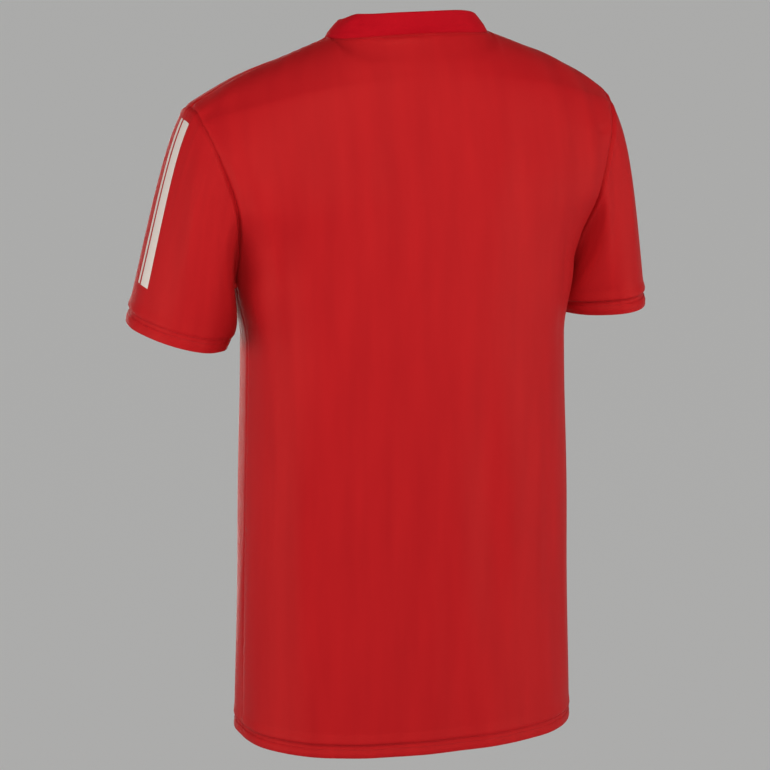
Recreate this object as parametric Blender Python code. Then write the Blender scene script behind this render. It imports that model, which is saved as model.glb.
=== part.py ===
"""A short-sleeved football jersey, worn and hollow: five sewn pieces, each a closed wall of cloth.

Metres, +Z up, the front faces -Y and the wearer's left is +X. The origin lies in the plane of the side
seams, in the middle of the neck opening and level with the neckband's ends of the shoulder seams.
"""

from collections import namedtuple

import bmesh
import bpy
import numpy as np

WALL = 0.0012  # one layer of knitted cloth
TURNED_WALL = 0.0022  # a hem or a cuff turned up inside, and the doubled neckband
SEAM_GAP = 0.0003  # between two pieces that are sewn together
HEM_DEPTH = 0.018  # height of the turned-up hem and of the cuffs
HEM_STEP = 0.0020  # over which a turned-up hem thins to one layer
SHARPEST_MITRE = 0.5  # cosine of the half angle past which a folded seam's wall grows no thicker

ROUNDNESS = 2.39  # exponent of the torso's oval sections: 2 is an ellipse, more is squarer
FLAT_FALL = 2.2  # how a section above the armpits falls from its middle to the armhole

NECK_HALF_WIDTH = 0.0845
NECK_SEAM_Y = 0.010  # where the shoulder seam meets the neckband
BACK_NECK = (0.066, 0.007)  # y and z of the neck seam at the middle of the back
FRONT_NECK = (-0.076, -0.084)  # y and z of the neck seam at the middle of the front
NECK_FULLNESS = (0.9, 1.6)  # powers of a cosine: how round the neck seam is in y, and how deep in z
SHOULDER_TIP = (0.2195, -0.0175, -0.0665)  # top of the left armhole
SHOULDER_ROLL = 0.25  # share of the shoulder's drop that is kept for its outer end
SHOULDER_DIP = 0.004  # how far the shoulder line sinks beside the neck
SHOULDER_TILT = -0.10  # rise per metre of the cloth where it crosses the shoulder seam forwards
TIP_RISE = 0.05  # rise per metre of the cloth towards the shoulder seam, from both sides, at its outer end
NAPE_SLOPE = (-0.42, 0.91)  # y and z of the cloth's direction up into the neckband at the back
THROAT_SLOPE = (0.62, 0.78)  # the same at the front

NECK_SHARE = 0.38  # share of a half section's columns' width that ends on the neckband
NECK_COLUMNS = 8
SHOULDER_COLUMNS = 12

# A level section of a panel, by its middle and its side. wrap is 1 where it turns round to a side seam
# and less where it ends on an armhole; steps is the number of mesh rows up to the next section.
Section = namedtuple("Section", "level y_mid z_mid x_side y_side z_side wrap steps")
BACK_SECTIONS = (
    Section("hem", 0.1265, -0.7190, 0.1757, 0.000, -0.7200, 1.00, 5),
    Section("waist", 0.1200, -0.5000, 0.1713, 0.000, -0.5000, 1.00, 6),
    Section("chest", 0.1180, -0.3100, 0.1668, 0.000, -0.3100, 1.00, 4),
    Section("armpit", 0.1145, -0.2250, 0.1780, 0.000, -0.2500, 1.00, 3),
    Section("low armhole", 0.1135, -0.1925, 0.1828, 0.024, -0.2150, 0.80, 3),
    Section("blades", 0.1110, -0.1600, 0.1945, 0.057, -0.1600, 0.45, 4),
    Section("yoke", 0.0960, -0.0840, 0.2100, 0.048, -0.1080, 0.20, 3),
    Section("nape", 0.0840, -0.0320, 0.2185, 0.020, -0.0770, 0.10, 3),
)
FRONT_SECTIONS = (
    Section("hem", -0.1240, -0.7190, 0.1757, 0.000, -0.7200, 1.00, 5),
    Section("waist", -0.1200, -0.5000, 0.1713, 0.000, -0.5000, 1.00, 6),
    Section("chest", -0.1240, -0.3100, 0.1668, 0.000, -0.3100, 1.00, 4),
    Section("armpit", -0.1230, -0.2400, 0.1780, 0.000, -0.2500, 1.00, 3),
    Section("low armhole", -0.1210, -0.2080, 0.1800, -0.030, -0.2130, 0.80, 3),
    Section("breast", -0.1160, -0.1750, 0.1855, -0.058, -0.1580, 0.45, 4),
    Section("collar bones", -0.1010, -0.1310, 0.1990, -0.060, -0.1110, 0.20, 3),
    Section("throat", -0.0880, -0.1040, 0.2125, -0.047, -0.0865, 0.10, 3),
)

# Soft folds of a panel, each along a line seen from behind or in front: x and z of its top and bottom, half
# its width, and how far the cloth stands out there, or sinks in where that is negative.
FOLD_ENDS = 1.5  # how gently a fold rises from its ends
Fold = namedtuple("Fold", "x_top z_top x_bottom z_bottom half_width out")
BACK_FOLDS = (
    Fold(0.142, -0.300, 0.146, -0.700, 0.016, 0.0020),
    Fold(0.108, -0.340, 0.110, -0.720, 0.018, -0.0022),
    Fold(0.062, -0.260, 0.066, -0.560, 0.020, 0.0018),
    Fold(0.034, -0.420, 0.030, -0.740, 0.016, -0.0024),
    Fold(-0.020, -0.380, -0.016, -0.660, 0.018, 0.0018),
    Fold(-0.050, -0.300, -0.054, -0.640, 0.016, -0.0020),
    Fold(-0.076, -0.300, -0.080, -0.600, 0.016, 0.0022),
    Fold(-0.132, -0.360, -0.136, -0.720, 0.016, -0.0020),
    Fold(0.190, -0.078, 0.180, -0.185, 0.013, 0.0030),
    Fold(0.148, -0.090, 0.166, -0.225, 0.016, -0.0026),
    Fold(0.073, -0.085, 0.075, -0.235, 0.012, -0.0024),
    Fold(0.050, -0.080, 0.054, -0.270, 0.013, 0.0020),
    Fold(-0.077, -0.040, -0.070, -0.160, 0.016, 0.0024),
    Fold(-0.150, -0.090, -0.162, -0.215, 0.015, -0.0022),
    Fold(-0.187, -0.078, -0.178, -0.175, 0.012, 0.0026),
)
FRONT_FOLDS = (
    Fold(0.136, -0.300, 0.140, -0.700, 0.016, 0.0020),
    Fold(0.096, -0.260, 0.100, -0.720, 0.020, -0.0022),
    Fold(0.048, -0.360, 0.044, -0.700, 0.018, 0.0020),
    Fold(-0.012, -0.400, -0.016, -0.740, 0.018, -0.0022),
    Fold(-0.070, -0.280, -0.066, -0.680, 0.020, 0.0022),
    Fold(-0.124, -0.320, -0.130, -0.720, 0.016, -0.0020),
    Fold(0.182, -0.110, 0.168, -0.225, 0.014, 0.0026),
    Fold(0.146, -0.120, 0.148, -0.270, 0.016, -0.0024),
    Fold(-0.150, -0.115, -0.146, -0.255, 0.016, -0.0024),
    Fold(-0.183, -0.105, -0.170, -0.215, 0.014, 0.0026),
)

# Soft folds along a sleeve: where each lies round it in degrees (0 under the arm, 90 behind, 180 on top),
# half its width in degrees, and how far it stands out.
SleeveFold = namedtuple("SleeveFold", "turn half_turn out")
LEFT_SLEEVE_FOLDS = (
    SleeveFold(48, 24, -0.0022),
    SleeveFold(100, 26, 0.0020),
    SleeveFold(236, 26, 0.0020),
    SleeveFold(292, 24, -0.0022),
)
RIGHT_SLEEVE_FOLDS = (
    SleeveFold(62, 24, -0.0024),
    SleeveFold(122, 24, 0.0018),
    SleeveFold(250, 26, 0.0022),
    SleeveFold(306, 24, -0.0020),
)

# A sleeve's open end: its middle, half its width across and front to back, and how far its plane is
# turned outwards and forwards from level.
Cuff = namedtuple("Cuff", "x y z across along outwards forwards")
LEFT_CUFF = Cuff(0.2320, -0.030, -0.3005, 0.0520, 0.064, 14.5, 4.0)
RIGHT_CUFF = Cuff(-0.2262, -0.024, -0.2970, 0.0455, 0.064, 4.5, 0.0)
SLEEVE_ROWS = 8
SLEEVE_CAP = (0.60, -0.80)  # x and z of the cloth's direction where it leaves the top of the armhole
CAP_REACH = 0.53  # length of that first stretch, as a share of the sleeve's
CAP_SPREAD = 1.3  # how quickly the cap's direction fades towards the underarm
UNDERARM_LEAN = 0.6  # how far the cloth under the arm leans away from the body where it leaves the armhole
UNDERARM_FULLNESS = SleeveFold(30, 36, 0.0085)  # a fullness towards the body, greatest below the middle

BAND_HEIGHT = 0.022
BAND_ROWS = 2
BAND_LEAN = (-0.10, 0.85, 0.90)  # inward lean of the neckband at the back, at the sides and in front

RED = (0.454, 0.0144, 0.0176, 1.0)
BAND_RED = (0.430, 0.0120, 0.0170, 1.0)
CLOTH_ROUGHNESS = 0.62
SHARP_ANGLE = 40  # degrees: a wall's rims are shaded as edges, its folds as curves
SAME_POINT = 1e-7  # two pieces' points this close lie on one seam


def unit(vectors):
    return vectors / np.linalg.norm(vectors, axis=-1, keepdims=True)


def power(values, exponent):
    return np.clip(values, 0, 1) ** exponent


def curve_through(knots, values, at, end_slope):
    """A cubic through values, one for each knot, that never swings past them and ends in end_slope."""
    steps = np.diff(knots)[:, None, None]
    rises = np.diff(values, axis=0) / steps
    before, after = rises[:-1], rises[1:]
    long_before, long_after = 2 * steps[1:] + steps[:-1], steps[1:] + 2 * steps[:-1]
    level = before * after <= 0
    safe_before, safe_after = np.where(level, 1, before), np.where(level, 1, after)
    mean = (long_before + long_after) / (long_before / safe_before + long_after / safe_after)
    slopes = np.concatenate([rises[:1], np.where(level, 0, mean), end_slope[None]])
    span = np.clip(np.searchsorted(knots, at, side="right") - 1, 0, len(knots) - 2)
    width = steps[span]
    share = (at - knots[span])[:, None, None] / width
    leaving, arriving = slopes[span] * width, slopes[span + 1] * width
    return hermite(share, values[span], leaving, values[span + 1], arriving)


def hermite(share, start, leaving, end, arriving):
    """The cubic from start to end with those end directions, at each share of the way."""
    return (
        (2 * share**3 - 3 * share**2 + 1) * start
        + (share**3 - 2 * share**2 + share) * leaving
        + (3 * share**2 - 2 * share**3) * end
        + (share**3 - share**2) * arriving
    )


def half_columns():
    """Where the columns of half a panel lie: 0 at its middle, 1 at its side, and one on the neck point."""
    neck = np.linspace(0, NECK_SHARE, NECK_COLUMNS + 1)
    shoulder = np.linspace(NECK_SHARE, 1, SHOULDER_COLUMNS + 1)
    return np.concatenate([neck, shoulder[1:]])


def section_points(section, across):
    """Half a level section, from its middle to its side."""
    angle = across * np.pi / 2
    round_x = power(np.sin(angle), 2 / ROUNDNESS)
    round_y = power(np.cos(angle), 2 / ROUNDNESS)
    x = section.x_side * ((1 - section.wrap) * across + section.wrap * round_x)
    fall = (1 - section.wrap) * (1 - across**FLAT_FALL) + section.wrap * round_y
    y = section.y_side + (section.y_mid - section.y_side) * fall
    z = section.z_mid + (section.z_side - section.z_mid) * across**2
    return np.stack([x, y, z], axis=-1)


def top_edge(neck_middle, across):
    """Half a panel's upper edge: the neckline as far as NECK_SHARE, and then the shoulder seam."""
    angle = np.clip(across / NECK_SHARE, 0, 1) * np.pi / 2
    y_middle, z_middle = neck_middle
    neckline = np.stack(
        [
            NECK_HALF_WIDTH * np.sin(angle),
            NECK_SEAM_Y + (y_middle - NECK_SEAM_Y) * power(np.cos(angle), NECK_FULLNESS[0]),
            z_middle * power(np.cos(angle), NECK_FULLNESS[1]),
        ],
        axis=-1,
    )
    out = np.clip((across - NECK_SHARE) / (1 - NECK_SHARE), 0, 1)[:, None]
    neck_point = np.array([NECK_HALF_WIDTH, NECK_SEAM_Y, 0])
    shoulder = neck_point + (np.array(SHOULDER_TIP) - neck_point) * out
    drop = (1 - SHOULDER_ROLL) * out + SHOULDER_ROLL * out**3
    dip = SHOULDER_DIP * np.sin(np.pi * out) * (1 - out) ** 2
    shoulder[:, 2] = (SHOULDER_TIP[2] * drop - dip)[:, 0]
    return np.where((across <= NECK_SHARE)[:, None], neckline, shoulder)


def end_directions(neck_slope, forwards, across):
    """The cloth's direction where it reaches the upper edge: up at the neck, level over the shoulder."""
    blend = np.clip(across / NECK_SHARE, 0, 1)[:, None] ** 2
    up = unit(np.array([0, *neck_slope]))
    out = np.clip((across - NECK_SHARE) / (1 - NECK_SHARE), 0, 1)[:, None]
    rise = SHOULDER_TILT * forwards * (1 - out**2) + TIP_RISE * out**2
    over = unit((0, -forwards, 0) + (0, 0, 1) * rise)
    return unit((1 - blend) * up + blend * over)


def raise_folds(grid, folds, forwards):
    """Moves a panel's points in or out along Y to make its folds."""
    flat = grid[..., (0, 2)]
    for fold in folds:
        top = np.array([fold.x_top, fold.z_top])
        line = np.array([fold.x_bottom, fold.z_bottom]) - top
        share = (flat - top) @ line / (line @ line)
        aside = np.linalg.norm(flat - top - share[..., None] * line, axis=-1)
        along = power(4 * share * (1 - share), FOLD_ENDS)
        grid[..., 1] += forwards * fold.out * along * np.exp(-((aside / fold.half_width) ** 2))


def panel_sections(sections, neck_middle):
    """Half a panel's sections and its upper edge, as rows of points from the middle to the side."""
    across = half_columns()
    rows = [section_points(section, across) for section in sections]
    rows.append(top_edge(neck_middle, across))
    return np.array(rows)


def panel(rows, knots, sections, neck_slope, folds, forwards):
    """The outer face of a front or a back as rows of points, hem first, from the right side to the left.

    forwards is 1 for the back, whose cloth crosses the shoulder towards the front, and -1 for the front.
    """
    at = [0.0, HEM_DEPTH, HEM_DEPTH + HEM_STEP]
    for first, last, section in zip(knots[:-1], knots[1:], sections):
        first = max(first, at[2])
        at.extend(first + (last - first) * np.arange(1, section.steps + 1) / section.steps)
    ends = end_directions(neck_slope, forwards, half_columns())
    half = curve_through(knots, rows, np.array(at), ends)
    mirrored = half[:, :0:-1] * (-1, 1, 1)
    grid = np.concatenate([mirrored, half], axis=1)
    raise_folds(grid, folds, forwards)
    return grid


def body_panels():
    """The outer faces of the back and the front, on the same side seams."""
    back_rows = panel_sections(BACK_SECTIONS, BACK_NECK)
    front_rows = panel_sections(FRONT_SECTIONS, FRONT_NECK)
    both = np.stack([back_rows, front_rows])[:, :, NECK_COLUMNS]
    lengths = np.linalg.norm(np.diff(both, axis=1), axis=-1).mean(axis=0)
    knots = np.concatenate([[0], np.cumsum(lengths)])
    back = panel(back_rows, knots, BACK_SECTIONS, NAPE_SLOPE, BACK_FOLDS, 1)
    front = panel(front_rows, knots, FRONT_SECTIONS, THROAT_SLOPE, FRONT_FOLDS, -1)
    side = slice(None, armhole_row() + 1)
    for column in (0, -1):
        seam = (back[side, column] + front[side, column]) / 2 * (1, 0, 1)
        back[side, column] = front[side, column] = seam
    return back, front


def armhole_row():
    """The row of a panel at which its side seam ends and its armhole begins."""
    levels = [section.level for section in BACK_SECTIONS]
    below = BACK_SECTIONS[: levels.index("armpit")]
    return 2 + sum(section.steps for section in below)


def armhole(back, front, column):
    """The points of an armhole, from the armpit up the back, over the shoulder and down the front."""
    behind = back[armhole_row() :, column]
    before = front[armhole_row() :, column]
    return behind, before, np.concatenate([behind, before[-2:0:-1]])


def turned_by(edge):
    """How far along an armhole's half each of its points lies, as an angle from 0 to pi."""
    lengths = np.linalg.norm(np.diff(edge, axis=0), axis=1)
    return np.concatenate([[0], np.cumsum(lengths)]) / lengths.sum() * np.pi


def bulge(turn, fold):
    """How far out a fold of a sleeve stands, at each turn round the sleeve."""
    aside = (np.degrees(turn) - fold.turn + 180) % 360 - 180
    return fold.out * np.exp(-((aside / fold.half_turn) ** 2))


def sleeve(back, front, column, cuff, folds):
    """The outer face of a sleeve as rings of points, from the armhole to the cuff."""
    behind, before, loop = armhole(back, front, column)
    side = np.sign(cuff.x)
    turn = np.concatenate([turned_by(behind), 2 * np.pi - turned_by(before)[-2:0:-1]])[:, None]
    outward_tilt, forward_tilt = np.radians(cuff.outwards), np.radians(cuff.forwards)
    facing = unit(np.array([side * np.sin(outward_tilt), -np.sin(forward_tilt), -np.cos(outward_tilt)]))
    across = unit(np.array([side, 0, 0]) - side * facing[0] * facing)
    along = unit(np.array([0, 1, 0]) - facing[1] * facing)
    middle = np.array([cuff.x, cuff.y, cuff.z])
    rim = middle - np.cos(turn) * across * cuff.across + np.sin(turn) * along * cuff.along
    centre_line = unit(middle - (behind.mean(axis=0) + before.mean(axis=0)) / 2)
    top = np.array([side * SLEEVE_CAP[0], 0, SLEEVE_CAP[1]])
    share = power((1 - np.cos(turn)) / 2, CAP_SPREAD)
    reach = np.linalg.norm(rim - loop, axis=1, keepdims=True)
    underarm = centre_line + (side * UNDERARM_LEAN, 0, 0)
    leaving = unit(share * top + (1 - share) * underarm) * reach * CAP_REACH
    arriving = unit(centre_line + facing) * reach
    length = reach.mean()
    stops = np.linspace(0, 1 - (HEM_DEPTH + HEM_STEP) / length, SLEEVE_ROWS)
    stops = np.concatenate([stops, [1 - HEM_DEPTH / length, 1]])[:, None, None]
    rings = hermite(stops, loop, leaving, rim, arriving)
    raised = sum(bulge(turn, fold) for fold in folds) * np.sin(stops * np.pi / 2) ** 2
    raised += bulge(turn, UNDERARM_FULLNESS) * np.sin(stops**1.5 * np.pi) ** 2
    outwards = unit(rings - rings.mean(axis=1, keepdims=True))
    return rings + outwards * raised


def neckband(back, front):
    """The outer face of the neckband as rings of points, from the neck seam to its upper edge."""
    middle = back.shape[1] // 2
    neck = slice(middle - NECK_COLUMNS, middle + NECK_COLUMNS + 1)
    seam = np.concatenate([back[-1, neck], front[-1, neck][-2:0:-1]])
    behind = np.clip((seam[:, 1] - NECK_SEAM_Y) / (BACK_NECK[0] - NECK_SEAM_Y), 0, 1) ** 2
    before = np.clip((NECK_SEAM_Y - seam[:, 1]) / (NECK_SEAM_Y - FRONT_NECK[0]), 0, 1) ** 2
    lean = BAND_LEAN[0] * behind + BAND_LEAN[1] * (1 - behind - before) + BAND_LEAN[2] * before
    inwards = unit(seam * (-1, -1, 0))
    rising = unit(inwards * lean[:, None] + (0, 0, 1))
    stops = np.linspace(0, BAND_HEIGHT, BAND_ROWS + 1)[:, None, None]
    return seam + rising * stops


def face_sums(grid, closed, outwards):
    """For each point of a grid, the outward normals of the faces round it, weighted by their angles there."""
    ring = np.concatenate([grid, grid[:, :1]], axis=1) if closed else grid
    sums = np.zeros_like(ring)
    near, far = slice(None, -1), slice(1, None)
    for rows, next_rows, row_sign in ((near, far, 1), (far, near, -1)):
        for columns, next_columns, column_sign in ((near, far, 1), (far, near, -1)):
            corner = ring[rows, columns]
            across = ring[rows, next_columns] - corner
            along = ring[next_rows, columns] - corner
            normal = np.cross(across, along)
            size = np.linalg.norm(normal, axis=-1, keepdims=True)
            angle = np.arctan2(size, (across * along).sum(axis=-1, keepdims=True))
            sums[rows, columns] += normal / size * angle * (row_sign * column_sign * outwards)
    if closed:
        sums[:, 0] += sums[:, -1]
        return sums[:, :-1]
    return sums


def around(ring):
    """The direction of a closed ring at each of its points, as the step from one neighbour to the other."""
    return np.roll(ring, -1, axis=0) - np.roll(ring, 1, axis=0)


def seam_normals(pieces):
    """The normals of every piece's points: those that pieces share at a seam, and each piece's own.

    A shared normal halves the angle between the body, which is the back and the front together, and the
    sleeve or the neckband that is sewn to it, and it is square to the seam.
    """
    own = {name: face_sums(*piece) for name, piece in pieces.items()}
    sums = {}
    keys = {}
    for name, (grid, _, _) in pieces.items():
        keys[name] = [tuple(key) for key in np.round(grid.reshape(-1, 3) / SAME_POINT).astype(int)]
        side = "body" if name in ("back", "front") else name
        for key, normal in zip(keys[name], own[name].reshape(-1, 3)):
            sides = sums.setdefault(key, {})
            sides[side] = sides.get(side, 0) + normal
    halved = {key: sum(unit(normal) for normal in sides.values()) for key, sides in sums.items()}
    for name, (grid, closed, _) in pieces.items():
        if closed:
            for key, along in zip(keys[name], unit(around(grid[0]))):
                halved[key] -= (halved[key] @ along) * along
    shared = {
        name: unit(np.array([halved[key] for key in keys[name]]).reshape(grid.shape))
        for name, (grid, _, _) in pieces.items()
    }
    return shared, {name: unit(sums) for name, sums in own.items()}


def draw_back(edge, inner, normals, closed):
    """How a seam's points move, half the seam gap towards their own piece and square to the seam."""
    along = around(edge)
    if not closed:
        along[0], along[-1] = edge[1] - edge[0], edge[-1] - edge[-2]
    square = np.cross(along, normals)
    towards = np.sign((square * (inner - edge)).sum(axis=-1, keepdims=True))
    return towards * unit(square) * SEAM_GAP / 2


def shell_faces(points, rows, columns, closed):
    """The quads of a wall between an outer grid and an inner one, rims included.

    A quad splits along the diagonal from its first corner. A quad and the one behind it start at the same
    corner, and a rim's quads start at their upper outer corner, so that facing rims split alike.
    """
    numbers = np.arange(2 * rows * columns).reshape(2, rows, columns)
    if closed:
        numbers = np.concatenate([numbers, numbers[:, :, :1]], axis=2)
    outer, inner = numbers
    faces = []
    near, far = slice(None, -1), slice(1, None)
    for layer, second, fourth in ((outer, (near, far), (far, near)), (inner, (far, near), (near, far))):
        corners = layer[near, near], layer[second], layer[far, far], layer[fourth]
        faces.extend(np.stack(corners, axis=-1).reshape(-1, 4).tolist())
    rims = [(outer[0], inner[0]), (outer[-1], inner[-1])]
    if not closed:
        rims += [(outer[:, 0], inner[:, 0]), (outer[:, -1], inner[:, -1])]
    for out, back in rims:
        quads = np.stack([out[:-1], back[:-1], back[1:], out[1:]], axis=-1)
        upwards = points[out[1:], 2] > points[out[:-1], 2]
        faces.extend(np.where(upwards[:, None], np.roll(quads, 1, axis=1), quads).tolist())
    return faces


def cloth_material(name, colour):
    material = bpy.data.materials.new(name)
    material.use_nodes = True
    shader = material.node_tree.nodes["Principled BSDF"]
    shader.inputs["Base Color"].default_value = colour
    shader.inputs["Roughness"].default_value = CLOTH_ROUGHNESS
    shader.inputs["Metallic"].default_value = 0.0
    return material


def build_wall(name, grid, closed, insets, thickness, normals, material, collection):
    """Makes a piece: its outer face drawn back at its seams, and an inner face thickness inside it."""
    shared, own = normals
    outer = grid.copy()
    for edge, inner in insets:
        outer[edge] += draw_back(grid[edge], grid[inner], shared[edge], closed)
    mitre = np.clip((shared * own).sum(axis=-1, keepdims=True), SHARPEST_MITRE, 1)
    inside = outer - shared * thickness[:, None, None] / mitre
    rows, columns = grid.shape[:2]
    points = np.concatenate([outer.reshape(-1, 3), inside.reshape(-1, 3)])
    mesh = bpy.data.meshes.new(name)
    mesh.from_pydata(points.tolist(), [], shell_faces(points, rows, columns, closed))
    work = bmesh.new()
    work.from_mesh(mesh)
    bmesh.ops.recalc_face_normals(work, faces=work.faces)
    work.to_mesh(mesh)
    work.free()
    mesh.shade_smooth()
    mesh.set_sharp_from_angle(angle=np.radians(SHARP_ANGLE))
    mesh.materials.append(material)
    piece = bpy.data.objects.new(name, mesh)
    collection.objects.link(piece)
    return piece


def main():
    for old in list(bpy.data.objects):
        bpy.data.objects.remove(old, do_unlink=True)
    collection = bpy.data.collections.new("football_jersey")
    bpy.context.scene.collection.children.link(collection)

    back, front = body_panels()
    pieces = {
        "back": (back, False, -1),
        "front": (front, False, 1),
        "sleeve_left": (sleeve(back, front, -1, LEFT_CUFF, LEFT_SLEEVE_FOLDS), True, 1),
        "sleeve_right": (sleeve(back, front, 0, RIGHT_CUFF, RIGHT_SLEEVE_FOLDS), True, -1),
        "neckband": (neckband(back, front), True, -1),
    }
    shared, own = seam_normals(pieces)

    whole = slice(None)
    sides_and_top = (
        ((whole, 0), (whole, 1)),
        ((whole, -1), (whole, -2)),
        ((-1, whole), (-2, whole)),
    )
    first_ring = (((0, whole), (1, whole)),)
    panel_walls = np.full(len(back), WALL)
    panel_walls[:2] = TURNED_WALL
    sleeve_walls = np.full(SLEEVE_ROWS + 2, WALL)
    sleeve_walls[-2:] = TURNED_WALL
    band_walls = np.full(BAND_ROWS + 1, TURNED_WALL)
    band_walls[0] = WALL
    jersey = cloth_material("jersey_knit", RED)
    rib = cloth_material("neckband_knit", BAND_RED)
    plan = (
        ("back", sides_and_top, panel_walls, jersey),
        ("front", sides_and_top, panel_walls, jersey),
        ("sleeve_left", first_ring, sleeve_walls, jersey),
        ("sleeve_right", first_ring, sleeve_walls, jersey),
        ("neckband", first_ring, band_walls, rib),
    )
    for name, insets, thickness, material in plan:
        grid, closed, _ = pieces[name]
        normals = shared[name], own[name]
        build_wall(name, grid, closed, insets, thickness, normals, material, collection)


main()
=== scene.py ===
# %% [markdown]
# # A football jersey, worn and hollow
# A jersey like this one is five pieces of knitted polyester: a back, a front, two sleeves and a
# neckband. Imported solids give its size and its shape. This script dresses them: each piece is made
# again as a fine sheet on the same curves, with its creases, its sewn seams, its turned hem and cuffs,
# its stitches, its sleeve trim and its knit. Metres, +Z up, the front faces -Y and the wearer's left is
# +X.

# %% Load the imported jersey
from collections import namedtuple

import bmesh
import bpy
import numpy as np
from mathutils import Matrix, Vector, noise


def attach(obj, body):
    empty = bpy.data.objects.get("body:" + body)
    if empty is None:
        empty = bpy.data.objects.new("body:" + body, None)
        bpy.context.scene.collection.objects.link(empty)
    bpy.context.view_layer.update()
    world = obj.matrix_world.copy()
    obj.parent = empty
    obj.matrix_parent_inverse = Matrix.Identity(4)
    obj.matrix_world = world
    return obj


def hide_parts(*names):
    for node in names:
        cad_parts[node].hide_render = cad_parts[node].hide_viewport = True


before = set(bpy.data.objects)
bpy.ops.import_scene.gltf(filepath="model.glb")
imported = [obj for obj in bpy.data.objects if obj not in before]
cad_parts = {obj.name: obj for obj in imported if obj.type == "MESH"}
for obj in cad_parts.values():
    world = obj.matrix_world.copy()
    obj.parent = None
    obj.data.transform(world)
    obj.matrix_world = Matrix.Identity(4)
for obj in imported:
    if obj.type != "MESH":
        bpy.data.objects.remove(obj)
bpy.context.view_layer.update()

print("solids:", ", ".join(sorted(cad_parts)))

# %% [markdown]
# ## The cloth
# Every size below belongs to the real garment. One layer of this interlock knit hangs as a wall a
# little over 1 mm thick, counting its soft nap, and the hem, the cuffs and the neckband are two layers.

# %% Sizes of the cloth and its edges
WALL = 0.0012  # one layer of knitted cloth
TURNED_WALL = 0.0022  # a hem or a cuff turned up inside, and the doubled neckband
SEAM_GAP = 0.0001  # between two pieces that are sewn together
HEM_DEPTH = 0.018  # height of the turned-up hem and of the cuffs
HEM_STEP = 0.0020  # over which a turned-up hem thins to one layer
BAND_HEIGHT = 0.022  # of the neckband, from the neck seam to its folded edge

# %% [markdown]
# ## The cut
# The tables say where the jersey's level sections run, from the hem up to the neck. They are the same
# as those of the solids, so that the fine sheets lie on the solids without any fitting.

# %% Sections of the back and the front
ROUNDNESS = 2.39  # exponent of the torso's oval sections: 2 is an ellipse, more is squarer
FLAT_FALL = 2.2  # how a section above the armpits falls from its middle to the armhole
NECK_SHARE = 0.38  # share of a half section's columns' width that ends on the neckband

Section = namedtuple("Section", "level y_mid z_mid x_side y_side z_side wrap")
BACK_SECTIONS = (
    Section("hem", 0.1265, -0.7190, 0.1757, 0.000, -0.7200, 1.00),
    Section("waist", 0.1200, -0.5000, 0.1713, 0.000, -0.5000, 1.00),
    Section("chest", 0.1180, -0.3100, 0.1668, 0.000, -0.3100, 1.00),
    Section("armpit", 0.1145, -0.2250, 0.1780, 0.000, -0.2500, 1.00),
    Section("low armhole", 0.1135, -0.1925, 0.1828, 0.024, -0.2150, 0.80),
    Section("blades", 0.1110, -0.1600, 0.1945, 0.057, -0.1600, 0.45),
    Section("yoke", 0.0960, -0.0840, 0.2100, 0.048, -0.1080, 0.20),
    Section("nape", 0.0840, -0.0320, 0.2185, 0.020, -0.0770, 0.10),
)
FRONT_SECTIONS = (
    Section("hem", -0.1240, -0.7190, 0.1757, 0.000, -0.7200, 1.00),
    Section("waist", -0.1200, -0.5000, 0.1713, 0.000, -0.5000, 1.00),
    Section("chest", -0.1240, -0.3100, 0.1668, 0.000, -0.3100, 1.00),
    Section("armpit", -0.1230, -0.2400, 0.1780, 0.000, -0.2500, 1.00),
    Section("low armhole", -0.1210, -0.2080, 0.1800, -0.030, -0.2130, 0.80),
    Section("breast", -0.1160, -0.1750, 0.1855, -0.058, -0.1580, 0.45),
    Section("collar bones", -0.1010, -0.1310, 0.1990, -0.060, -0.1110, 0.20),
    Section("throat", -0.0880, -0.1040, 0.2125, -0.047, -0.0865, 0.10),
)
ARMPIT = [section.level for section in BACK_SECTIONS].index("armpit")

# %% Sizes of the neck and the shoulders
NECK_HALF_WIDTH = 0.0845
NECK_SEAM_Y = 0.010  # where the shoulder seam meets the neckband
BACK_NECK = (0.066, 0.007)  # y and z of the neck seam at the middle of the back
FRONT_NECK = (-0.076, -0.084)  # y and z of the neck seam at the middle of the front
NECK_FULLNESS = (0.9, 1.6)  # powers of a cosine: how round the neck seam is in y, and how deep in z
SHOULDER_TIP = (0.2195, -0.0175, -0.0665)  # top of the left armhole
SHOULDER_ROLL = 0.25  # share of the shoulder's drop that is kept for its outer end
SHOULDER_DIP = 0.004  # how far the shoulder line sinks beside the neck
SHOULDER_TILT = -0.10  # rise per metre of the cloth where it crosses the shoulder seam forwards
TIP_RISE = 0.05  # rise per metre towards the shoulder seam, from both sides, at its outer end
NAPE_SLOPE = (-0.42, 0.91)  # y and z of the cloth's direction up into the neckband at the back
THROAT_SLOPE = (0.62, 0.78)  # the same at the front
BAND_LEAN = (-0.10, 0.85, 0.90)  # inward lean of the neckband at the back, at the sides and in front

# %% Sizes of the sleeves
Cuff = namedtuple("Cuff", "x y z across along outwards forwards")
LEFT_CUFF = Cuff(0.2320, -0.030, -0.3005, 0.0520, 0.064, 14.5, 4.0)
RIGHT_CUFF = Cuff(-0.2262, -0.024, -0.2970, 0.0455, 0.064, 4.5, 0.0)
SLEEVE_CAP = (0.60, -0.80)  # x and z of the cloth's direction where it leaves the top of the armhole
CAP_REACH = 0.53  # length of that first stretch, as a share of the sleeve's
CAP_SPREAD = 1.3  # how quickly the cap's direction fades towards the underarm
UNDERARM_LEAN = 0.6  # how far the cloth under the arm leans away from the body as it leaves the armhole

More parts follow.
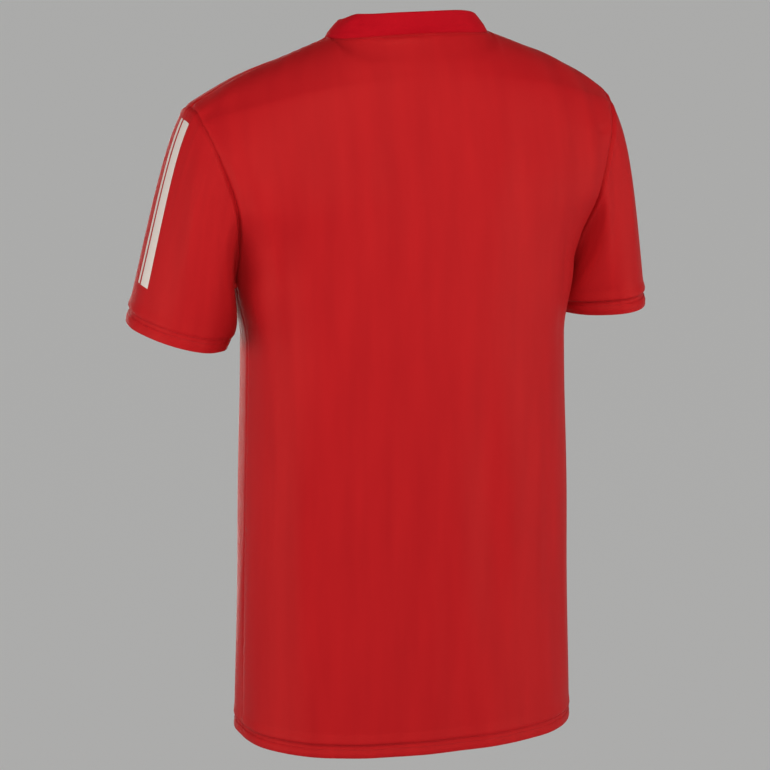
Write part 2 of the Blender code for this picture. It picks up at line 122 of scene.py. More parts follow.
# %% Broad folds
FOLD_ENDS = 1.5  # how gently a fold rises from its ends
Fold = namedtuple("Fold", "x_top z_top x_bottom z_bottom half_width out")
BACK_FOLDS = (
    Fold(0.142, -0.300, 0.146, -0.700, 0.016, 0.0020),
    Fold(0.108, -0.340, 0.110, -0.720, 0.018, -0.0022),
    Fold(0.062, -0.260, 0.066, -0.560, 0.020, 0.0018),
    Fold(0.034, -0.420, 0.030, -0.740, 0.016, -0.0024),
    Fold(-0.020, -0.380, -0.016, -0.660, 0.018, 0.0018),
    Fold(-0.050, -0.300, -0.054, -0.640, 0.016, -0.0020),
    Fold(-0.076, -0.300, -0.080, -0.600, 0.016, 0.0022),
    Fold(-0.132, -0.360, -0.136, -0.720, 0.016, -0.0020),
    Fold(0.190, -0.078, 0.180, -0.185, 0.013, 0.0030),
    Fold(0.148, -0.090, 0.166, -0.225, 0.016, -0.0026),
    Fold(0.073, -0.085, 0.075, -0.235, 0.012, -0.0024),
    Fold(0.050, -0.080, 0.054, -0.270, 0.013, 0.0020),
    Fold(-0.077, -0.040, -0.070, -0.160, 0.016, 0.0024),
    Fold(-0.150, -0.090, -0.162, -0.215, 0.015, -0.0022),
    Fold(-0.187, -0.078, -0.178, -0.175, 0.012, 0.0026),
)
FRONT_FOLDS = (
    Fold(0.136, -0.300, 0.140, -0.700, 0.016, 0.0020),
    Fold(0.096, -0.260, 0.100, -0.720, 0.020, -0.0022),
    Fold(0.048, -0.360, 0.044, -0.700, 0.018, 0.0020),
    Fold(-0.012, -0.400, -0.016, -0.740, 0.018, -0.0022),
    Fold(-0.070, -0.280, -0.066, -0.680, 0.020, 0.0022),
    Fold(-0.124, -0.320, -0.130, -0.720, 0.016, -0.0020),
    Fold(0.182, -0.110, 0.168, -0.225, 0.014, 0.0026),
    Fold(0.146, -0.120, 0.148, -0.270, 0.016, -0.0024),
    Fold(-0.150, -0.115, -0.146, -0.255, 0.016, -0.0024),
    Fold(-0.183, -0.105, -0.170, -0.215, 0.014, 0.0026),
)
SleeveFold = namedtuple("SleeveFold", "turn half_turn out")
LEFT_SLEEVE_FOLDS = (
    SleeveFold(48, 24, -0.0022),
    SleeveFold(100, 26, 0.0020),
    SleeveFold(236, 26, 0.0020),
    SleeveFold(292, 24, -0.0022),
)
RIGHT_SLEEVE_FOLDS = (
    SleeveFold(62, 24, -0.0024),
    SleeveFold(122, 24, 0.0018),
    SleeveFold(250, 26, 0.0022),
    SleeveFold(306, 24, -0.0020),
)
UNDERARM_FULLNESS = SleeveFold(30, 36, 0.0085)  # a fullness towards the body
FULLNESS_LOW = 1.5  # above 1, the fullness is greatest below the sleeve's middle

# %% [markdown]
# ## Curves that never swing past their points
# A plain spline through the sections would bulge between them. This cubic takes, at each section, the
# harmonic mean of the slopes on both sides, which keeps the cloth between its sections.

# %% Small helpers and the curve through the sections
def unit(vectors):
    return vectors / np.linalg.norm(vectors, axis=-1, keepdims=True)


def power(values, exponent):
    return np.clip(values, 0, 1) ** exponent


def hermite(share, start, leaving, end, arriving):
    """The cubic from start to end with those end directions, at each share of the way."""
    return (
        (2 * share**3 - 3 * share**2 + 1) * start
        + (share**3 - 2 * share**2 + share) * leaving
        + (3 * share**2 - 2 * share**3) * end
        + (share**3 - share**2) * arriving
    )


def curve_through(knots, values, at, end_slope):
    """A cubic through values, one for each knot, that never swings past them and ends in end_slope."""
    steps = np.diff(knots)[:, None, None]
    rises = np.diff(values, axis=0) / steps
    before, after = rises[:-1], rises[1:]
    long_before, long_after = 2 * steps[1:] + steps[:-1], steps[1:] + 2 * steps[:-1]
    level = before * after <= 0
    safe_before, safe_after = np.where(level, 1, before), np.where(level, 1, after)
    mean = (long_before + long_after) / (long_before / safe_before + long_after / safe_after)
    slopes = np.concatenate([rises[:1], np.where(level, 0, mean), end_slope[None]])
    span = np.clip(np.searchsorted(knots, at, side="right") - 1, 0, len(knots) - 2)
    width = steps[span]
    share = (at - knots[span])[:, None, None] / width
    leaving, arriving = slopes[span] * width, slopes[span + 1] * width
    return hermite(share, values[span], leaving, values[span + 1], arriving)


# %% [markdown]
# ## Points where the cloth needs them
# Sewn seams and turned edges are small forms, a millimetre or two wide, on panels half a metre wide. So
# the points crowd together beside a seam and in the hem, and stand about 3 mm apart everywhere else.

# %% Spread points along a line
SEAM_STOPS = (0.0060, 0.0043, 0.0029, 0.0017, 0.0008, 0.0)  # rows beside a seam: distances from it
EDGE_ROUND = 0.0010  # the folded edge of a hem curls this far round below its first row of points
EDGE_STEP = 0.001  # between rows of points in a hem or a cuff
EDGE_ROWS = 26
EDGE_STOPS = tuple(EDGE_ROUND + EDGE_STEP * np.arange(EDGE_ROWS))


def travelled(line):
    """How far along a line each of its points lies."""
    lengths = np.linalg.norm(np.diff(line, axis=0), axis=1)
    return np.concatenate([[0], np.cumsum(lengths)])


def respaced(lines, near_start, count, near_end):
    """Each line's points anew: at these distances from its ends, and in count even steps between."""
    spaced = []
    for line in lines:
        gone = travelled(line)
        middle = np.linspace(near_start[-1], gone[-1] - near_end[0], count + 1)
        stops = np.concatenate([near_start, middle[1:-1], gone[-1] - np.array(near_end)])
        spaced.append(np.stack([np.interp(stops, gone, line[:, axis]) for axis in range(3)], axis=-1))
    return np.array(spaced)


# %% [markdown]
# ## The body's two panels
# Each panel is worked out as half a panel, from its middle to its side, and mirrored. Its level
# sections are ovals below the armpits and open arcs above them, and a curve joins them from the hem to
# the top edge.

# %% Sections and the top edge
NECK_SAMPLES = 48  # steps along half a neckline, before the points are spread anew
SHOULDER_SAMPLES = 128  # the same along a shoulder seam
TOP_SAMPLES = 60  # points up a panel's last curve
CENTRE_COLUMNS = 26  # columns between a panel's middle and the end of its neckline
SIDE_COLUMNS = 52  # columns from there to the side
ROW_STEP = 0.0034  # between rows of a panel
TOP_ROWS = 14  # rows of the last curve, besides those beside the seam

neck_samples = np.linspace(0, NECK_SHARE, NECK_SAMPLES + 1)
across_samples = np.concatenate([neck_samples, np.linspace(NECK_SHARE, 1, SHOULDER_SAMPLES + 1)[1:]])


def section_points(section):
    """Half a level section, from its middle to its side."""
    angle = across_samples * np.pi / 2
    round_x = power(np.sin(angle), 2 / ROUNDNESS)
    round_y = power(np.cos(angle), 2 / ROUNDNESS)
    x = section.x_side * ((1 - section.wrap) * across_samples + section.wrap * round_x)
    fall = (1 - section.wrap) * (1 - across_samples**FLAT_FALL) + section.wrap * round_y
    y = section.y_side + (section.y_mid - section.y_side) * fall
    z = section.z_mid + (section.z_side - section.z_mid) * across_samples**2
    return np.stack([x, y, z], axis=-1)


def top_edge(neck_middle):
    """Half a panel's upper edge: the neckline as far as NECK_SHARE, and then the shoulder seam."""
    angle = np.clip(across_samples / NECK_SHARE, 0, 1) * np.pi / 2
    y_middle, z_middle = neck_middle
    neckline = np.stack(
        [
            NECK_HALF_WIDTH * np.sin(angle),
            NECK_SEAM_Y + (y_middle - NECK_SEAM_Y) * power(np.cos(angle), NECK_FULLNESS[0]),
            z_middle * power(np.cos(angle), NECK_FULLNESS[1]),
        ],
        axis=-1,
    )
    out = np.clip((across_samples - NECK_SHARE) / (1 - NECK_SHARE), 0, 1)[:, None]
    neck_point = np.array([NECK_HALF_WIDTH, NECK_SEAM_Y, 0])
    shoulder = neck_point + (np.array(SHOULDER_TIP) - neck_point) * out
    drop = (1 - SHOULDER_ROLL) * out + SHOULDER_ROLL * out**3
    dip = SHOULDER_DIP * np.sin(np.pi * out) * (1 - out) ** 2
    shoulder[:, 2] = (SHOULDER_TIP[2] * drop - dip)[:, 0]
    return np.where((across_samples <= NECK_SHARE)[:, None], neckline, shoulder)


def end_directions(neck_slope, forwards):
    """The cloth's direction at the upper edge: up at the neck, and level over the shoulder."""
    blend = np.clip(across_samples / NECK_SHARE, 0, 1)[:, None] ** 2
    up = unit(np.array([0, *neck_slope]))
    out = np.clip((across_samples - NECK_SHARE) / (1 - NECK_SHARE), 0, 1)[:, None]
    rise = SHOULDER_TILT * forwards * (1 - out**2) + TIP_RISE * out**2
    over = unit((0, -forwards, 0) + (0, 0, 1) * rise)
    return unit((1 - blend) * up + blend * over)


# %% Half panels, mirrored
def row_stops(knots):
    """Where the rows lie along a panel: fine in the hem and where the underarm seam starts."""
    stops = list(EDGE_STOPS)
    for number, (first, last) in enumerate(zip(knots[:-2], knots[1:-1])):
        first = max(first, stops[-1])
        if number == ARMPIT:
            near = first + np.array(SEAM_STOPS[-2::-1])
            stops.extend(near)
            first = near[-1]
        count = int(np.ceil((last - first) / ROW_STEP))
        stops.extend(np.linspace(first, last, count + 1)[1:])
    return np.array(stops)


def mirrored(half):
    """A whole panel from its left half."""
    return np.concatenate([half[:, :0:-1] * (-1, 1, 1), half], axis=1)


def panel(rows, knots, neck_slope, forwards):
    """A panel's outer face, hem first, from the wearer's right side to the left one."""
    ends = end_directions(neck_slope, forwards)
    below = curve_through(knots, rows, row_stops(knots), ends)
    last = curve_through(knots, rows, np.linspace(knots[-2], knots[-1], TOP_SAMPLES), ends)
    top = respaced(last.transpose(1, 0, 2), (0.0,), TOP_ROWS, SEAM_STOPS).transpose(1, 0, 2)
    half = np.concatenate([below, top[1:]])
    centre = respaced(half[:, : NECK_SAMPLES + 1], (0.0,), CENTRE_COLUMNS, (0.0,))
    outer = respaced(half[:, NECK_SAMPLES:], (0.0,), SIDE_COLUMNS, SEAM_STOPS)
    return mirrored(np.concatenate([centre, outer[:, 1:]], axis=1))


def raise_folds(grid, folds, forwards):
    """Moves a panel's points in or out along Y to make its broad folds."""
    flat = grid[..., (0, 2)]
    for fold in folds:
        top = np.array([fold.x_top, fold.z_top])
        line = np.array([fold.x_bottom, fold.z_bottom]) - top
        share = (flat - top) @ line / (line @ line)
        aside = np.linalg.norm(flat - top - share[..., None] * line, axis=-1)
        along = power(4 * share * (1 - share), FOLD_ENDS)
        grid[..., 1] += forwards * fold.out * along * np.exp(-((aside / fold.half_width) ** 2))


back_rows = np.array([section_points(section) for section in BACK_SECTIONS] + [top_edge(BACK_NECK)])
front_rows = np.array([section_points(section) for section in FRONT_SECTIONS] + [top_edge(FRONT_NECK)])
at_neck_point = np.stack([back_rows, front_rows])[:, :, NECK_SAMPLES]
steps_up = np.linalg.norm(np.diff(at_neck_point, axis=1), axis=-1).mean(axis=0)
knots = np.concatenate([[0], np.cumsum(steps_up)])
armhole_row = int(np.argmin(np.abs(row_stops(knots) - knots[ARMPIT])))

back = panel(back_rows, knots, NAPE_SLOPE, 1)
front = panel(front_rows, knots, THROAT_SLOPE, -1)
raise_folds(back, BACK_FOLDS, 1)
raise_folds(front, FRONT_FOLDS, -1)
print("panel grid:", back.shape[:2], "armhole from row", armhole_row)

# %% Bring the side seams together
SIDE_EASE = 0.030  # how far from a side seam a panel is drawn to meet the other one


def ease_to(grid, column, seam):
    """Moves a panel's side column onto the seam, and the cloth beside it less and less."""
    side = slice(None, len(seam))
    moved = seam - grid[side, column]
    aside = np.linalg.norm(grid[side] - grid[side, column][:, None], axis=-1)
    grid[side] += moved[:, None] * power(1 - aside / SIDE_EASE, 2)[..., None]
    grid[side, column] = seam


for column in (0, -1):
    seam = (back[: armhole_row + 1, column] + front[: armhole_row + 1, column]) / 2 * (1, 0, 1)
    ease_to(back, column, seam)
    ease_to(front, column, seam)

# %% [markdown]
# ## Sleeves
# A sleeve starts on the very points of the armhole, so that the two always meet, and runs down to its
# cuff, an oval ring turned a little outwards. Over the shoulder it leaves the armhole along the cap.

# %% Sleeve rings
SLEEVE_SAMPLES = 120  # points down a sleeve's curves, before they are spread anew
SLEEVE_STEPS = 44  # rows between the cuff's and the seam's


def turned_by(edge):
    """How far along an armhole's half each of its points lies, as an angle from 0 to pi."""
    gone = travelled(edge)
    return gone / gone[-1] * np.pi


def bulge(turn, fold):
    """How far out a fold of a sleeve stands, at each turn round the sleeve."""
    aside = (np.degrees(turn) - fold.turn + 180) % 360 - 180
    return fold.out * np.exp(-((aside / fold.half_turn) ** 2))


def sleeve(column, cuff, folds):
    """The outer face of a sleeve as rings of points, from the cuff to the armhole."""
    behind, before = back[armhole_row:, column], front[armhole_row:, column]
    loop = np.concatenate([behind, before[-2:0:-1]])
    side = np.sign(cuff.x)
    turn = np.concatenate([turned_by(behind), 2 * np.pi - turned_by(before)[-2:0:-1]])[:, None]
    outward_tilt, forward_tilt = np.radians(cuff.outwards), np.radians(cuff.forwards)
    facing = unit(np.array([side * np.sin(outward_tilt), -np.sin(forward_tilt), -np.cos(outward_tilt)]))
    across = unit(np.array([side, 0, 0]) - side * facing[0] * facing)
    along = unit(np.array([0, 1, 0]) - facing[1] * facing)
    middle = np.array([cuff.x, cuff.y, cuff.z])
    rim = middle - np.cos(turn) * across * cuff.across + np.sin(turn) * along * cuff.along
    centre_line = unit(middle - (behind.mean(axis=0) + before.mean(axis=0)) / 2)
    top = np.array([side * SLEEVE_CAP[0], 0, SLEEVE_CAP[1]])
    share = power((1 - np.cos(turn)) / 2, CAP_SPREAD)
    reach = np.linalg.norm(rim - loop, axis=1, keepdims=True)
    underarm = centre_line + (side * UNDERARM_LEAN, 0, 0)
    leaving = unit(share * top + (1 - share) * underarm) * reach * CAP_REACH
    arriving = unit(centre_line + facing) * reach
    stops = np.linspace(0, 1, SLEEVE_SAMPLES)[:, None, None]
    rings = hermite(stops, loop, leaving, rim, arriving)
    raised = sum(bulge(turn, fold) for fold in folds) * np.sin(stops * np.pi / 2) ** 2
    raised += bulge(turn, UNDERARM_FULLNESS) * np.sin(stops**FULLNESS_LOW * np.pi) ** 2
    outwards = unit(rings - rings.mean(axis=1, keepdims=True))
    lines = (rings + outwards * raised)[::-1].transpose(1, 0, 2)
    return respaced(lines, EDGE_STOPS, SLEEVE_STEPS, SEAM_STOPS).transpose(1, 0, 2)


sleeve_left = sleeve(-1, LEFT_CUFF, LEFT_SLEEVE_FOLDS)
sleeve_right = sleeve(0, RIGHT_CUFF, RIGHT_SLEEVE_FOLDS)
print("sleeve grid:", sleeve_left.shape[:2])

# %% [markdown]
# ## Neckband
# The band is one strip folded along its length, sewn to the neckline by both cut edges. It leans in
# over the shoulders and in front, and stands nearly upright at the back of the neck.

# %% Neckband rings
BAND_TOP = TURNED_WALL / 2  # the folded top edge is half round
BAND_ROWS = 18  # rows between the folded edge and the seam's
JOIN_PLACE = (0.0765, 0.0355, 0.0010)  # on the neck seam, where the band's two ends are sewn together
JOIN_RISE = 0.0047  # how much taller the band stands there
JOIN_SPREAD = 0.0225  # how far round the neck it is taller


def neckband():
    """The outer face of the neckband as rings of points, from its folded edge down to the neck seam."""
    middle = back.shape[1] // 2
    neck = slice(middle - CENTRE_COLUMNS, middle + CENTRE_COLUMNS + 1)
    seam = np.concatenate([back[-1, neck], front[-1, neck][-2:0:-1]])
    behind = np.clip((seam[:, 1] - NECK_SEAM_Y) / (BACK_NECK[0] - NECK_SEAM_Y), 0, 1) ** 2
    before = np.clip((NECK_SEAM_Y - seam[:, 1]) / (NECK_SEAM_Y - FRONT_NECK[0]), 0, 1) ** 2
    lean = BAND_LEAN[0] * behind + BAND_LEAN[1] * (1 - behind - before) + BAND_LEAN[2] * before
    inwards = unit(seam * (-1, -1, 0))
    rising = unit(inwards * lean[:, None] + (0, 0, 1))
    aside = np.linalg.norm(seam - JOIN_PLACE, axis=1, keepdims=True)
    tall = BAND_HEIGHT - BAND_TOP + JOIN_RISE * np.exp(-((aside / JOIN_SPREAD) ** 2))
    lines = np.stack([seam + rising * tall, seam], axis=1)
    return respaced(lines, (0.0,), BAND_ROWS, SEAM_STOPS).transpose(1, 0, 2)


band = neckband()
print("neckband grid:", band.shape[:2])

# %% [markdown]
# ## Which way the cloth faces
# A wall needs its outward direction at every point. At a seam the pieces must agree on it, or their
# edges would drift apart. So a point that they share takes the direction that halves the angle between
# the body and the sleeve or the neckband sewn to it, square to the seam. A sharp fold needs this most:
# under the arm, any other direction would turn one of the two walls inside out.

# %% Normals that seams share
SAME_POINT = 1e-7  # two pieces' points this close lie on one seam
NO_AREA = 1e-12  # a face smaller than this, in square metres, has no direction
Piece = namedtuple("Piece", "grid closed facing middle")
pieces = {
    "back": Piece(back, False, -1, back.shape[1] // 2),
    "front": Piece(front, False, 1, front.shape[1] // 2),
    "sleeve_left": Piece(sleeve_left, True, -1, len(back) - 1 - armhole_row),
    "sleeve_right": Piece(sleeve_right, True, 1, len(back) - 1 - armhole_row),
    "neckband": Piece(band, True, 1, CENTRE_COLUMNS),
}


def ringed(grid, closed):
    """The grid, with its first column repeated at its end where it goes all the way round."""
    return np.concatenate([grid, grid[:, :1]], axis=1) if closed else grid


def face_sums(piece):
    """The outward normals of the faces round each point of a piece, weighted by their angles there."""
    ring = ringed(piece.grid, piece.closed)
    sums = np.zeros_like(ring)
    near, far = slice(None, -1), slice(1, None)
    for rows, next_rows, row_sign in ((near, far, 1), (far, near, -1)):
        for columns, next_columns, column_sign in ((near, far, 1), (far, near, -1)):
            corner = ring[rows, columns]
            across = ring[rows, next_columns] - corner
            along = ring[next_rows, columns] - corner
            normal = np.cross(across, along)
            size = np.linalg.norm(normal, axis=-1, keepdims=True)
            angle = np.arctan2(size, (across * along).sum(axis=-1, keepdims=True))
            weight = angle / np.maximum(size, NO_AREA) * (row_sign * column_sign * piece.facing)
            sums[rows, columns] += normal * weight
    if piece.closed:
        sums[:, 0] += sums[:, -1]
        return sums[:, :-1]
    return sums


def seam_normals():
    """Every piece's outward directions, the same for all pieces at a point that they share."""
    sides_of, keys = {}, {}
    for name, piece in pieces.items():
        rounded = np.round(piece.grid.reshape(-1, 3) / SAME_POINT).astype(int)
        keys[name] = [tuple(key) for key in rounded]
        side = "body" if name in ("back", "front") else name
        for key, normal in zip(keys[name], face_sums(piece).reshape(-1, 3)):
            sides = sides_of.setdefault(key, {})
            sides[side] = sides.get(side, 0) + normal
    halved = {key: sum(unit(normal) for normal in sides.values()) for key, sides in sides_of.items()}
    for name, piece in pieces.items():
        if piece.closed:
            ring = piece.grid[-1]
            steps = np.roll(ring, -1, axis=0) - np.roll(ring, 1, axis=0)
            for key, along in zip(keys[name][-len(ring) :], unit(steps)):
                halved[key] = halved[key] - (halved[key] @ along) * along
    return {
        name: unit(np.array([halved[key] for key in keys[name]]).reshape(piece.grid.shape))
        for name, piece in pieces.items()
    }


normals = seam_normals()
for name, piece in pieces.items():
    middle = piece.grid.mean(axis=1, keepdims=True) if piece.closed else piece.grid * (0, 0, 1)
    outward = ((piece.grid - middle) * normals[name]).sum(axis=-1).mean() > 0
    print(name, "faces outwards:", bool(outward))

# %% [markdown]
# ## Metres of cloth
# Stitches, puckers and the knit follow the cloth and not the room, so each point also gets its place on
# the flat cloth: across from the piece's middle, and up from its folded edge.

# %% Places on the flat cloth
def cloth_places(piece):
    """Where each point of a piece lies on its flat cloth: across, and up."""
    ring = ringed(piece.grid, piece.closed)
    across = np.array([travelled(row) for row in ring])
    across -= across[:, piece.middle : piece.middle + 1]
    up = np.array([travelled(line) for line in ring.transpose(1, 0, 2)]).T + EDGE_ROUND
    return across, up


places = {name: cloth_places(piece) for name, piece in pieces.items()}
for name, (across, up) in places.items():
    widest, highest = float(np.ptp(across, axis=1).max()), float(up.max())
    print(name, "mm across:", round(widest * 1000), "up:", round(highest * 1000))

# %% [markdown]
# ## Creases
# The broad folds are already in the panels. These finer creases are soft troughs and ridges along
# curves laid on the cloth: where it starts, where it bends and where it ends, how wide it is and how
# far it stands out, or sinks in where that is negative.

# %% Crease tables
Crease = namedtuple("Crease", "start bend end half_width out")
BACK_CREASES = (
    Crease((0.047, 0.060, 0.000), (0.022, 0.0665, 0.002), (-0.002, 0.0685, 0.002), 0.0028, 0.0018),
    Crease((-0.186, 0.061, -0.100), (-0.196, 0.055, -0.102), (-0.206, 0.048, -0.100), 0.0022, -0.0014),
    Crease((0.206, 0.050, -0.110), (0.203, 0.058, -0.128), (0.199, 0.064, -0.150), 0.0040, -0.0010),
    Crease((0.200, 0.056, -0.112), (0.197, 0.062, -0.130), (0.193, 0.068, -0.155), 0.0045, 0.0009),
    Crease((0.170, 0.072, -0.115), (0.172, 0.072, -0.170), (0.160, 0.070, -0.240), 0.0090, 0.0012),
    Crease((0.152, 0.078, -0.180), (0.150, 0.074, -0.240), (0.140, 0.070, -0.320), 0.0080, -0.0010),
    Crease((-0.150, 0.072, -0.180), (-0.148, 0.070, -0.250), (-0.138, 0.070, -0.330), 0.0080, -0.0011),
    Crease((0.156, 0.058, -0.300), (0.152, 0.062, -0.420), (0.160, 0.055, -0.560), 0.0075, 0.0010),
    Crease((0.126, 0.090, -0.420), (0.130, 0.088, -0.500), (0.122, 0.092, -0.600), 0.0070, -0.0009),
    Crease((0.088, 0.106, -0.360), (0.086, 0.107, -0.460), (0.092, 0.106, -0.590), 0.0080, 0.0009),
    Crease((-0.072, 0.110, -0.340), (-0.074, 0.111, -0.430), (-0.068, 0.112, -0.560), 0.0075, -0.0009),
    Crease((-0.110, 0.098, -0.360), (-0.114, 0.096, -0.480), (-0.106, 0.100, -0.620), 0.0080, 0.0010),
    Crease((0.010, 0.119, -0.500), (0.014, 0.120, -0.580), (0.006, 0.122, -0.680), 0.0085, 0.0008),
    Crease((-0.150, 0.060, -0.500), (-0.146, 0.066, -0.590), (-0.152, 0.060, -0.690), 0.0075, 0.0009),
)
FRONT_CREASES = (
    Crease((0.190, -0.062, -0.120), (0.182, -0.072, -0.165), (0.168, -0.076, -0.225), 0.0060, 0.0012),
    Crease((0.180, -0.070, -0.125), (0.172, -0.080, -0.170), (0.156, -0.084, -0.235), 0.0060, -0.0012),
    Crease((-0.190, -0.062, -0.120), (-0.184, -0.072, -0.160), (-0.172, -0.074, -0.220), 0.0060, 0.0012),
    Crease((-0.178, -0.070, -0.130), (-0.170, -0.080, -0.175), (-0.152, -0.086, -0.240), 0.0065, -0.0012),
    Crease((0.120, -0.090, -0.260), (0.118, -0.094, -0.380), (0.126, -0.088, -0.520), 0.0080, 0.0010),
    Crease((0.070, -0.112, -0.420), (0.074, -0.112, -0.520), (0.066, -0.114, -0.640), 0.0080, -0.0009),
    Crease((0.016, -0.122, -0.480), (0.012, -0.122, -0.570), (0.018, -0.123, -0.680), 0.0085, 0.0008),
    Crease((-0.040, -0.120, -0.380), (-0.044, -0.119, -0.480), (-0.038, -0.121, -0.600), 0.0080, -0.0009),
    Crease((-0.098, -0.104, -0.300), (-0.102, -0.102, -0.430), (-0.094, -0.106, -0.560), 0.0080, 0.0010),
    Crease((-0.146, -0.066, -0.360), (-0.150, -0.062, -0.500), (-0.142, -0.070, -0.640), 0.0075, 0.0009),
    Crease((0.030, -0.092, -0.110), (0.000, -0.098, -0.118), (-0.030, -0.092, -0.110), 0.0040, 0.0007),
)
LEFT_SLEEVE_CREASES = (
    Crease((0.226, 0.034, -0.110), (0.236, 0.040, -0.160), (0.244, 0.040, -0.230), 0.0070, 0.0012),
    Crease((0.214, 0.052, -0.130), (0.216, 0.052, -0.180), (0.226, 0.048, -0.250), 0.0065, -0.0012),
    Crease((0.236, -0.050, -0.110), (0.244, -0.062, -0.160), (0.248, -0.070, -0.230), 0.0070, 0.0011),
    Crease((0.212, -0.062, -0.140), (0.214, -0.072, -0.190), (0.222, -0.080, -0.260), 0.0065, -0.0011),
)
RIGHT_SLEEVE_CREASES = (
    Crease((-0.224, 0.030, -0.100), (-0.232, 0.038, -0.160), (-0.240, 0.036, -0.230), 0.0070, 0.0011),
    Crease((-0.206, 0.050, -0.130), (-0.210, 0.050, -0.180), (-0.216, 0.046, -0.250), 0.0065, -0.0012),
    Crease((-0.234, -0.046, -0.110), (-0.240, -0.056, -0.160), (-0.244, -0.062, -0.230), 0.0070, 0.0011),
    Crease((-0.208, -0.060, -0.140), (-0.210, -0.070, -0.190), (-0.214, -0.076, -0.260), 0.0065, -0.0011),
)
BAND_CREASES = (
    Crease((0.066, 0.041, 0.009), (0.060, 0.0435, 0.017), (0.055, 0.0455, 0.025), 0.0012, -0.0006),
    Crease((0.073, 0.028, 0.013), (0.067, 0.036, 0.018), (0.060, 0.042, 0.024), 0.0050, 0.0018),
    Crease((0.0025, 0.0662, 0.0100), (-0.020, 0.0647, 0.0116), (-0.047, 0.0566, 0.0105), 0.0020, -0.0006),
)
creases = {
    "neckband": BAND_CREASES,
    "back": BACK_CREASES,
    "front": FRONT_CREASES,
    "sleeve_left": LEFT_SLEEVE_CREASES,
    "sleeve_right": RIGHT_SLEEVE_CREASES,
}

# %% Lay a crease on the cloth
CREASE_SAMPLES = 32
CREASE_ENDS = 0.8  # how gently a crease rises from its ends
CREASE_REACH = 3.0  # half widths past which a crease is gone
CREASE_ROOM = 0.01  # and this much more round its curve, where it is looked for


def creased(grid, facing, crease):
    """How far one crease moves each point of a grid outwards."""
    share = np.linspace(0, 1, CREASE_SAMPLES)[:, None]
    start, bend, end = (np.array(point) for point in crease[:3])
    curve = (1 - share) ** 2 * start + 2 * share * (1 - share) * bend + share**2 * end
    low, high = curve.min(axis=0), curve.max(axis=0)
    margin = CREASE_REACH * crease.half_width + CREASE_ROOM
    near = ((grid > low - margin) & (grid < high + margin)).all(axis=-1)
    out = np.zeros(grid.shape[:2])
    offsets = grid[near][:, None] - curve
    offsets -= (offsets * facing[near][:, None]).sum(axis=-1, keepdims=True) * facing[near][:, None]
    gaps = np.linalg.norm(offsets, axis=-1)
    place = share[gaps.argmin(axis=1), 0]
    fade = power(4 * place * (1 - place), CREASE_ENDS)
    out[near] = crease.out * fade * np.exp(-((gaps.min(axis=1) / crease.half_width) ** 2))
    return out


# %% [markdown]
# ## Seams, hem and slow waves
# Overlocked seams pull the cloth in along a narrow groove and gather it a little. A coverstitched hem
# has a ridge above its stitches, a groove along them where the two layers are held flat, and a free
# edge that flares. Knit that has been worn is never quite flat either, so slow waves run down its
# wales.

# %% Sizes of the small forms
SEAM_DEPTH = 0.0013  # how far a seam is pulled in
SIDE_DEPTH = 0.0006  # the side seams hang straight and are pulled in less
SIDE_BLEND = (-0.30, -0.23)  # Z over which a side seam becomes an armhole seam
ARMHOLE_DEPTH = 0.0026  # how far the armhole seams are pulled in where the cloth hangs behind the arm
ARMHOLE_DEEPEST = -0.165  # Z of that place
ARMHOLE_SPREAD = 0.050
SEAM_REACH = 0.0055  # how far from a seam the cloth is pulled in
SLEEVE_ROLL = 0.0008  # how far a sleeve's cloth rolls up over the allowances beside the armhole
ROLL_AT = 0.0045  # distance of the roll's crest from the seam
ROLL_REACH = 0.0035
SEAM_FREE = 0.008  # creases and waves fade over this distance from a seam
PUCKER_STEP = 0.0125  # from one pucker of a seam to the next
PUCKER_RISE = 0.00030
PUCKER_REACH = 0.0075
PUCKER_DRIFTS = ((2.2, 41), (1.4, 97))  # how far puckers drift along their seam, and how quickly
PUCKER_UNEVEN = (0.35, 67, 1.3)  # how much their height varies, how quickly, and where that starts
HEM_SHIFT = 0.5  # metres along the cloth from one piece's hem puckers to the next one's
RIPPLE_ACROSS = 26.0  # slow waves to the metre, across and along the wales
RIPPLE_UP = 5.5
RIPPLE_RISE = 0.0016
HEM_UNEVEN = (0.6, 12.0)  # how much the hem's groove varies, and how quickly along the cloth
HEM_GROOVE = 0.0110  # height of the groove above a panel's folded edge
CUFF_GROOVE = 0.0125  # the same on a sleeve

# Height from the middle of the groove, and how far out the cloth stands there
HEM_PROFILE = (
    (-0.0110, 0.0001),
    (-0.0068, 0.0005),
    (-0.0036, 0.0000),
    (-0.0013, -0.0009),
    (0.0013, -0.0009),
    (0.0050, 0.0011),
    (0.0160, 0.0000),
)
BAND_PROFILE = ((0.0000, 0.0000), (0.0050, 0.0004), (0.0130, 0.0006), (0.0190, 0.0000))


# %% Shape the small forms
def profile(table, height):
    """A smooth line through a table of heights and how far out they stand."""
    heights, outs = np.array(table).T
    span = np.clip(np.searchsorted(heights, height, side="right") - 1, 0, len(heights) - 2)
    share = np.clip((height - heights[span]) / (heights[span + 1] - heights[span]), 0, 1)
    return outs[span] + (outs[span + 1] - outs[span]) * share**2 * (3 - 2 * share)


def pucker(along, distance):
    """Small waves where stitches gather the cloth, uneven along their line."""
    phase = along * 2 * np.pi / PUCKER_STEP
    for size, pace in PUCKER_DRIFTS:
        phase = phase + size * np.sin(along * pace)
    size, pace, start = PUCKER_UNEVEN
    strength = 1 - size + size * np.sin(along * pace + start)
    return PUCKER_RISE * np.sin(phase) * strength * np.exp(-((distance / PUCKER_REACH) ** 2))


def tuck(distance, depth):
    """The groove along a seam, which pulls the cloth in."""
    return -depth * power(1 - distance / SEAM_REACH, 2)


def roll(distance):
    """The soft roll of a sleeve's cloth beside its armhole."""
    return SLEEVE_ROLL * np.exp(-(((distance - ROLL_AT) / ROLL_REACH) ** 2))


